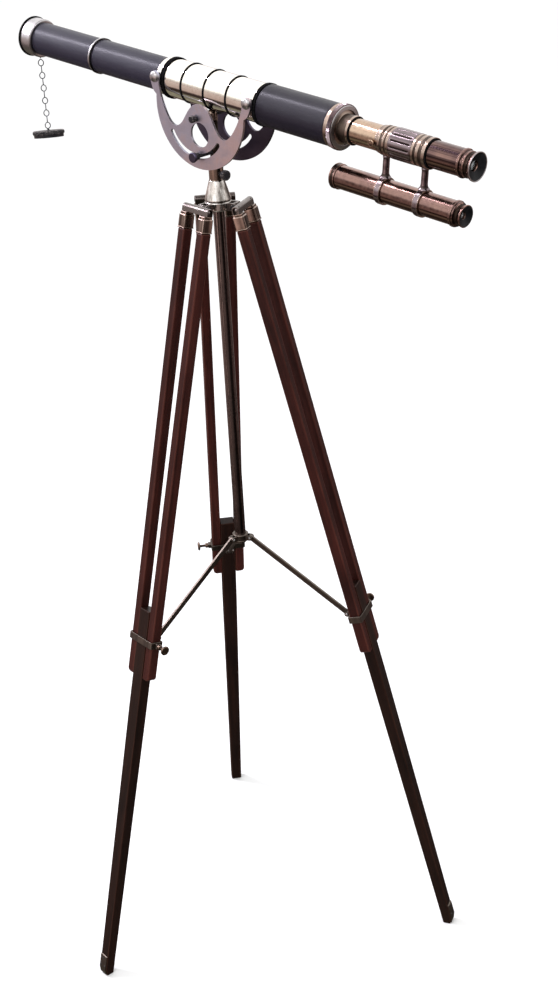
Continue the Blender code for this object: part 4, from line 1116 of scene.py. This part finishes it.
def build_leg(key):
    place = LEG[key]
    body = "leg_" + key
    piece("crossbar_" + key, crossbar_mesh(), place, body, CROSSBAR, ["leg_head_" + key],
          "brushed_plate", smooth=35)
    ends = [
        block((LEG_X - 4.4, low, -8.5), (LEG_X + 4.4, high, 3.0), 0.4)
        for low, high in both_sides(24, 27.2)]
    piece("crossbar_dark_" + key, joined(*ends), place, body, BORE, slot="black_lacquer")
    stud = [(22.5, 0), (22.5, 3.2), (30.5, 3.0), (31.5, 2.2), (31.8, 0)]
    middle = offset(LEG_X, 0, -1.5)
    studs = [
        moved(lathe([(s * a, b) for a, b in stud], "Y", 24, 0.4), middle)
        for s in (-1, 1)]
    piece("crossbar_studs_" + key, joined(*studs), place, body, NICKEL, slot="nickel")
    nose = prism(arc(0, 0, 6.0, 90, 270, 15) + [(7, -6), (7, 6)], "Y", -6.1, 6.1, 0.8)
    piece("knuckle_" + key, nose, place, body, CROSSBAR, slot="brushed_plate")
    for name, side in (("left", 1), ("right", -1)):
        piece("cap_%s_%s" % (name, key), ferrule_mesh(side), place, body, FERRULE,
              slot="brushed_plate")
        piece("rail_%s_wood_%s" % (name, key), rail_mesh(side), place, body, MAHOGANY,
              ["rail_%s_%s" % (name, key)], "mahogany")
    build_band(key, place, body)

    lower = "lower_" + key
    piece("lower_wood_" + key, lower_leg_mesh(), place, lower, MAHOGANY_DARK, ["lower_leg_" + key],
          "dark_mahogany")
    build_toe(key, place, lower)


def build_band(key, place, body):
    y_out = RAIL_PITCH_LOW / 2 + RAIL_W / 2 + 2.3
    lug_in = LEG_X - LOWER_D / 2 - 1.3
    tip = LEG_X + LUG_X
    shape = [(lug_in, BAND_Z + 5.5), (tip + 4, BAND_Z + 4.9)]
    shape += arc(tip, BAND_Z, LUG_R, 90, 270, 15) + [(tip + 4, BAND_Z - 4.9),
        (lug_in, BAND_Z - 5.5)]
    ears = [prism(shape, "Y", low, high, 0.4) for low, high in ((3.6, 6.4), (-6.4, -3.6))]
    boss = block(
        (LEG_X - 4.5, y_out - 1.0, BAND_Z - 4.5), (LEG_X + 4.5, y_out + 5.5, BAND_Z + 4.5), 0.9)
    band = joined(band_mesh(), *ears, boss)
    piece("strap_" + key, band, place, body, STEEL, ["clamp_band_" + key], "dark_brass", smooth=35)
    rivet = [(-8.2, 0), (-8.2, 1.6), (-7.4, 2.6), (-6.3, 2.8), (-6.3, 1.8), (6.3, 1.8), (6.3, 2.8),
             (7.4, 2.6), (8.2, 1.6), (8.2, 0)]
    pin = moved(lathe(rivet, "Y", 24, 0.3), offset(tip, 0, BAND_Z))
    piece("strap_rivet_" + key, pin, place, body, NICKEL, slot="nickel")
    turn = offset(LEG_X, y_out + 5.5, BAND_Z)
    knob = [(0.3, 0), (0.3, 4.2), (1.0, 4.6), (4.6, 4.6), (5.3, 4.2), (5.9, 2.4), (15.2, 2.4),
            (15.8, 6.4), (16.4, 7.9), (18.6, 8.2), (19.6, 7.4), (19.9, 5.6), (19.6, 5.0),
            (19.6, 0)]
    piece("thumb_screw_" + key, lathe(knob, "Y", 48), place @ turn, "clamp_" + key, KNOB,
          ["clamp_knob_" + key], "bronze")


def build_toe(key, place, body):
    toe = TOE_D / 2
    x = LEG_X + toe + 0.3
    knee = toe_z(LEG_X + toe) + TOE_H
    low_x = x - 4.0
    low_z = toe_z(low_x) + 2.6
    t = 1.6
    outline = [
        (x, knee + 26), (x + t, knee + 25), (x + t, knee - 1.0), (low_x + t + 0.2, low_z),
        (low_x + 0.5, low_z + 0.2), (x, knee)]
    plate = prism(outline, "Y", -9.0, 9.0, 0.35)
    piece("toe_shoe_" + key, plate, place, body, STEEL, ["toe_plate_" + key], "bronze", smooth=35)
    heads = []
    for y, z in ((0.0, knee + 20), (-5.2, knee + 5), (5.2, knee + 5)):
        spot = offset(x + t, y, z) @ Matrix.Rotation(math.radians(90), 4, "Y")
        heads.append(moved(screw_head(2.1, 0.8), spot))
    piece("toe_screws_" + key, joined(*heads), place, body, BLACK, slot="black_lacquer")


def build_brace(key):
    """Flat bar from the collar to the lug on the leg, with riveted round ends."""
    start = point_of("brace_fold_" + key)
    outer = LEG[key] @ Vector(((LEG_X + LUG_X) * MM, 0, BAND_Z * MM))
    fold = axis_of("brace_fold_" + key)
    up = (start - outer).normalized()
    place = basis(start, fold.cross(up), fold)
    length = 1000 * (start - outer).length
    outline = arc(0, 0, LUG_R, 0, 180, 13) + arc(0, -length, LUG_R, 180, 360, 13)
    bar = prism(outline, "Y", -2.0, 2.0, 0.5)
    piece("bar_" + key, bar, place, "link_" + key, STEEL, ["brace_" + key], "dark_brass",
          smooth=35)
    rivet = [(-3.1, 0), (-3.1, 1.8), (-2.6, 2.8), (-1.9, 3.0), (1.9, 3.0), (2.6, 2.8), (3.1, 1.8),
             (3.1, 0)]
    heads = [moved(lathe(rivet, "Y", 24, 0.2), offset(0, 0, z)) for z in (0.0, -length)]
    piece("bar_rivets_" + key, joined(*heads), place, "link_" + key, NICKEL, slot="nickel")


def build_collar():
    z = COLLAR_Z
    profile = [
        (z - 6.5, 9.8), (z - 6.5, 13.4), (z - 5.9, 14), (z - 4.4, 14), (z - 4.0, 13.4),
        (z + 4.0, 13.4), (z + 4.4, 14), (z + 5.9, 14), (z + 6.5, 13.4), (z + 6.5, 9.8)]

    cheek = [(11.5, z - 4.6), (11.5, z + 4.6)] + arc(BRACE_R, z, 4.6, 90, -90, 11)
    ears = on_each_leg(lambda: fork(cheek, 3.5, 6.0, 0.4))
    whole = joined(lathe(profile, "Z", 64), ears)
    piece("sliding_collar", whole, HEAD, "collar", STEEL, ["slide_collar"], "pink_brass",
          smooth=35)

    pin = [(-7.2, 0), (-7.2, 1.4), (-6.5, 2.2), (-5.9, 2.3), (5.9, 2.3), (6.5, 2.2), (7.2, 1.4),
           (7.2, 0)]
    spot = offset(BRACE_R, 0, z)
    rivets = on_each_leg(lambda: moved(lathe(pin, "Y", 24, 0.2), spot))
    piece("collar_rivets", rivets, HEAD, "collar", NICKEL, slot="nickel")


# ------------------------------------------------------------------ chain
def link_mesh(top, turn, length, width, wire):
    """One wire link, slightly pear shaped, hanging below a height."""
    around, across = 28, 10
    bm, _ = empty()
    rows = []
    for k in range(around):
        a = 2 * math.pi * k / around
        pinch = 1.0 - 0.22 * max(0.0, math.cos(a)) ** 2
        centre = Vector(
            ((width / 2 - wire) * math.sin(a) * pinch, 0,
            (length / 2 - wire) * math.cos(a) - length / 2))
        out = Vector((math.sin(a), 0, math.cos(a)))
        row = []
        for j in range(across):
            b = 2 * math.pi * j / across
            spot = centre + wire * (out * math.cos(b) + Vector((0, 1, 0)) * math.sin(b))
            row.append(bm.verts.new(spot * MM))
        rows.append(row)
    skin(bm, rows, lambda j, k: 0.0)
    turned_by = Matrix.Rotation(math.radians(turn), 4, "Z")
    return moved(bm, offset(0, 0, top) @ turned_by)


def build_chain():
    links = 11
    drop = 1000 * (point_of("chain_swing") - point_of("cap_swing")).length
    length = 12.6
    pitch = (drop - length) / (links - 1)
    shapes = [link_mesh(-k * pitch, 52 + 90 * (k % 2), length, 10.6, 0.8) for k in range(links)]
    piece("links", joined(*shapes), CHAIN, "chain", CHAIN_METAL, ["cap_chain"], "chain_metal",
          smooth=60)
    body = [(-1.2, 0), (-1.2, 2.6), (-2.2, 3.0), (-2.5, 25.8), (-3.1, 27.2), (-3.6, 27.5),
            (-8.8, 27.5), (-9.4, 26.9), (-9.7, 26.2), (-14.0, 26.2), (-14.5, 25.8), (-14.5, 24.6),
            (-13.8, 24.4), (-6.0, 24.4), (-6.0, 0)]
    piece("cap_shell", lathe(body, "Z", 128), CAP, "cap", BLACK, ["dust_cap"], "black_lacquer")
    knurl = lathe(ring(-8.2, -4.2, 27.0, 28.0), "Z", 220, 0.3, teeth=(-8.3, -4.1, 0.5, 27.7))
    piece("cap_knurl", knurl, CAP, "cap", BLACK_WORN, slot="black_lacquer")
    eye = link_mesh(0.6, 70, 6.0, 5.4, 0.8)
    piece("cap_eye", eye, CAP, "cap", CHAIN_METAL, slot="chain_metal", smooth=60)


build_cell()
build_barrel()
build_flange()
build_draw()
build_finder()
build_yoke()
build_head()
for key in LEGS:
    build_leg(key)
    build_brace(key)
build_collar()
build_chain()


# ------------------------------------------------------------------ stage
FLOOR_DROP = 0.0004             # keeps the paper just under the toes, in metres
PAPER_LIGHT = 1.06

# What the metal reflects, from straight down (0) to straight up (1).
STUDIO_HEIGHTS = [
    (0.0, (0.40, 0.37, 0.33)), (0.07, (0.22, 0.19, 0.16)), (0.13, (0.06, 0.045, 0.04)),
    (0.19, (0.32, 0.30, 0.23)), (0.23, (0.05, 0.034, 0.03)), (0.28, (0.035, 0.022, 0.02)),
    (0.32, (0.50, 0.38, 0.35)), (0.50, (0.68, 0.56, 0.53)), (0.54, (0.85, 0.80, 0.79)),
    (0.60, (1.5, 1.5, 1.5)), (0.85, (1.7, 1.7, 1.7)), (1.0, (1.2, 1.2, 1.25))]
# Screens round the studio, by azimuth: 0.5 is the camera's side, below it the left.
STUDIO_SCREENS = [
    (0.0, 1.0), (0.25, 1.0), (0.28, 1.1), (0.30, 2.3), (0.36, 2.3), (0.375, 0.75), (0.50, 0.6),
    (0.53, 0.10), (0.67, 0.07), (0.69, 1.2), (0.78, 1.0), (0.80, 0.3), (0.88, 0.3), (0.91, 1.0)]
SCREENS_FADE = (0.30, 0.05)     # the screens fade out between these heights

STRIP_FROM_TUBE = Vector((-1.7, 0.95, 1.6))
STRIP_SIZE = (0.22, 2.4)
STRIP_POWER = 75
STRIP_COLOUR = (0.90, 0.86, 1.0)
KEY_AT = (-2.2, -2.0, 3.4)
KEY_TOWARDS = (0, 0, 1.2)
KEY_SIZE = (1.6, 1.6)
KEY_POWER = 30
KEY_COLOUR = (1, 1, 1)

CAMERA_AT = (-0.3123, -2.5977, 2.0849)
CAMERA_TURNS = (-7.6547, -25.5116, 3.4789)      # yaw, pitch and roll in degrees
CAMERA_LENS = 59.78
CAMERA_SHIFT = (0.0181, 0.0048)


def build_floor():
    half = 30.0
    mesh = bpy.data.meshes.new("floor")
    corners = [(-half, -half, 0), (half, -half, 0), (half, half, 0), (-half, half, 0)]
    mesh.from_pydata(corners, [], [(0, 1, 2, 3)])
    g = Graph("pale_paper")
    paper = g.mix(g.noise(3.0), (0.93, 0.93, 0.93), (0.95, 0.95, 0.95))
    g.shade(Base_Color=paper, Roughness=0.9)
    mesh.materials.append(g.material)
    floor = bpy.data.objects.new("floor", mesh)
    floor.location.z = -FLOOR_DROP
    bpy.context.scene.collection.objects.link(floor)
    floor.visible_glossy = False


def build_world():
    """Even white for the paper, and a soft-box studio for what the metal reflects."""
    world = bpy.data.worlds.new("studio")
    bpy.context.scene.world = world
    world.use_nodes = True
    studio = Nodes(world.node_tree)
    for node in list(studio.tree.nodes):
        studio.tree.nodes.remove(node)
    coords = studio.new("TexCoord")
    way = studio.new("SeparateXYZ", Vector=coords.outputs["Generated"]).outputs
    heights = studio.ramp(studio.span(way["Z"], -1.0, 1.0), STUDIO_HEIGHTS)
    bearing = studio.math("ARCTAN2", way["X"], studio.times(way["Y"], -1.0))
    stops = [(at, (value, value, value)) for at, value in STUDIO_SCREENS]
    screens = studio.ramp(studio.span(bearing, -math.pi, math.pi), stops)
    shown = studio.mix(studio.span(way["Z"], *SCREENS_FADE), (1.0, 1.0, 1.0), screens)
    scale = studio.new("VectorMath")
    scale.operation = "MULTIPLY"
    studio.put(scale.inputs[0], heights)
    studio.put(scale.inputs[1], shown)

    rays = studio.new("LightPath")
    glossy = studio.new("Background", Color=scale.outputs["Vector"])
    plain = studio.new("Background", Color=(1.0, 1.0, 1.0), Strength=PAPER_LIGHT)
    mixed = studio.new("MixShader", Fac=rays.outputs["Is Glossy Ray"])
    studio.put(mixed.inputs[1], plain.outputs[0])
    studio.put(mixed.inputs[2], glossy.outputs[0])
    studio.new("OutputWorld", Surface=mixed.outputs[0])


def area_light(name, at, towards, size, power, colour):
    at, towards = Vector(at), Vector(towards)
    data = bpy.data.lights.new(name, "AREA")
    data.shape = "RECTANGLE"
    data.size, data.size_y = size
    data.energy = power
    data.color = colour
    ob = bpy.data.objects.new(name, data)
    bpy.context.scene.collection.objects.link(ob)
    ob.location = at
    ob.rotation_mode = "QUATERNION"
    ob.rotation_quaternion = (towards - at).to_track_quat("-Z", "Y")


def build_camera():
    """Camera at standing eye height in front of the eyepiece side, looking down."""
    yaw, pitch, roll = (math.radians(angle) for angle in CAMERA_TURNS)
    turn = Matrix.Rotation(yaw, 4, "Z") @ Matrix.Rotation(pitch, 4, "X")
    turn = turn @ Matrix.Rotation(roll, 4, "Y")
    data = bpy.data.cameras.new("camera")
    data.sensor_width = 36.0
    data.lens = CAMERA_LENS
    data.shift_x, data.shift_y = CAMERA_SHIFT
    data.clip_end = 100.0
    ob = bpy.data.objects.new("camera", data)
    bpy.context.scene.collection.objects.link(ob)
    upright = Matrix.Rotation(math.radians(90), 4, "X")
    ob.matrix_world = Matrix.Translation(CAMERA_AT) @ turn @ upright
    bpy.context.scene.camera = ob


build_floor()
build_world()
tube_at = TUBE.translation
area_light("strip", tube_at + STRIP_FROM_TUBE, tube_at, STRIP_SIZE, STRIP_POWER, STRIP_COLOUR)
area_light("key", KEY_AT, KEY_TOWARDS, KEY_SIZE, KEY_POWER, KEY_COLOUR)
build_camera()
bpy.context.scene.view_settings.view_transform = "Standard"
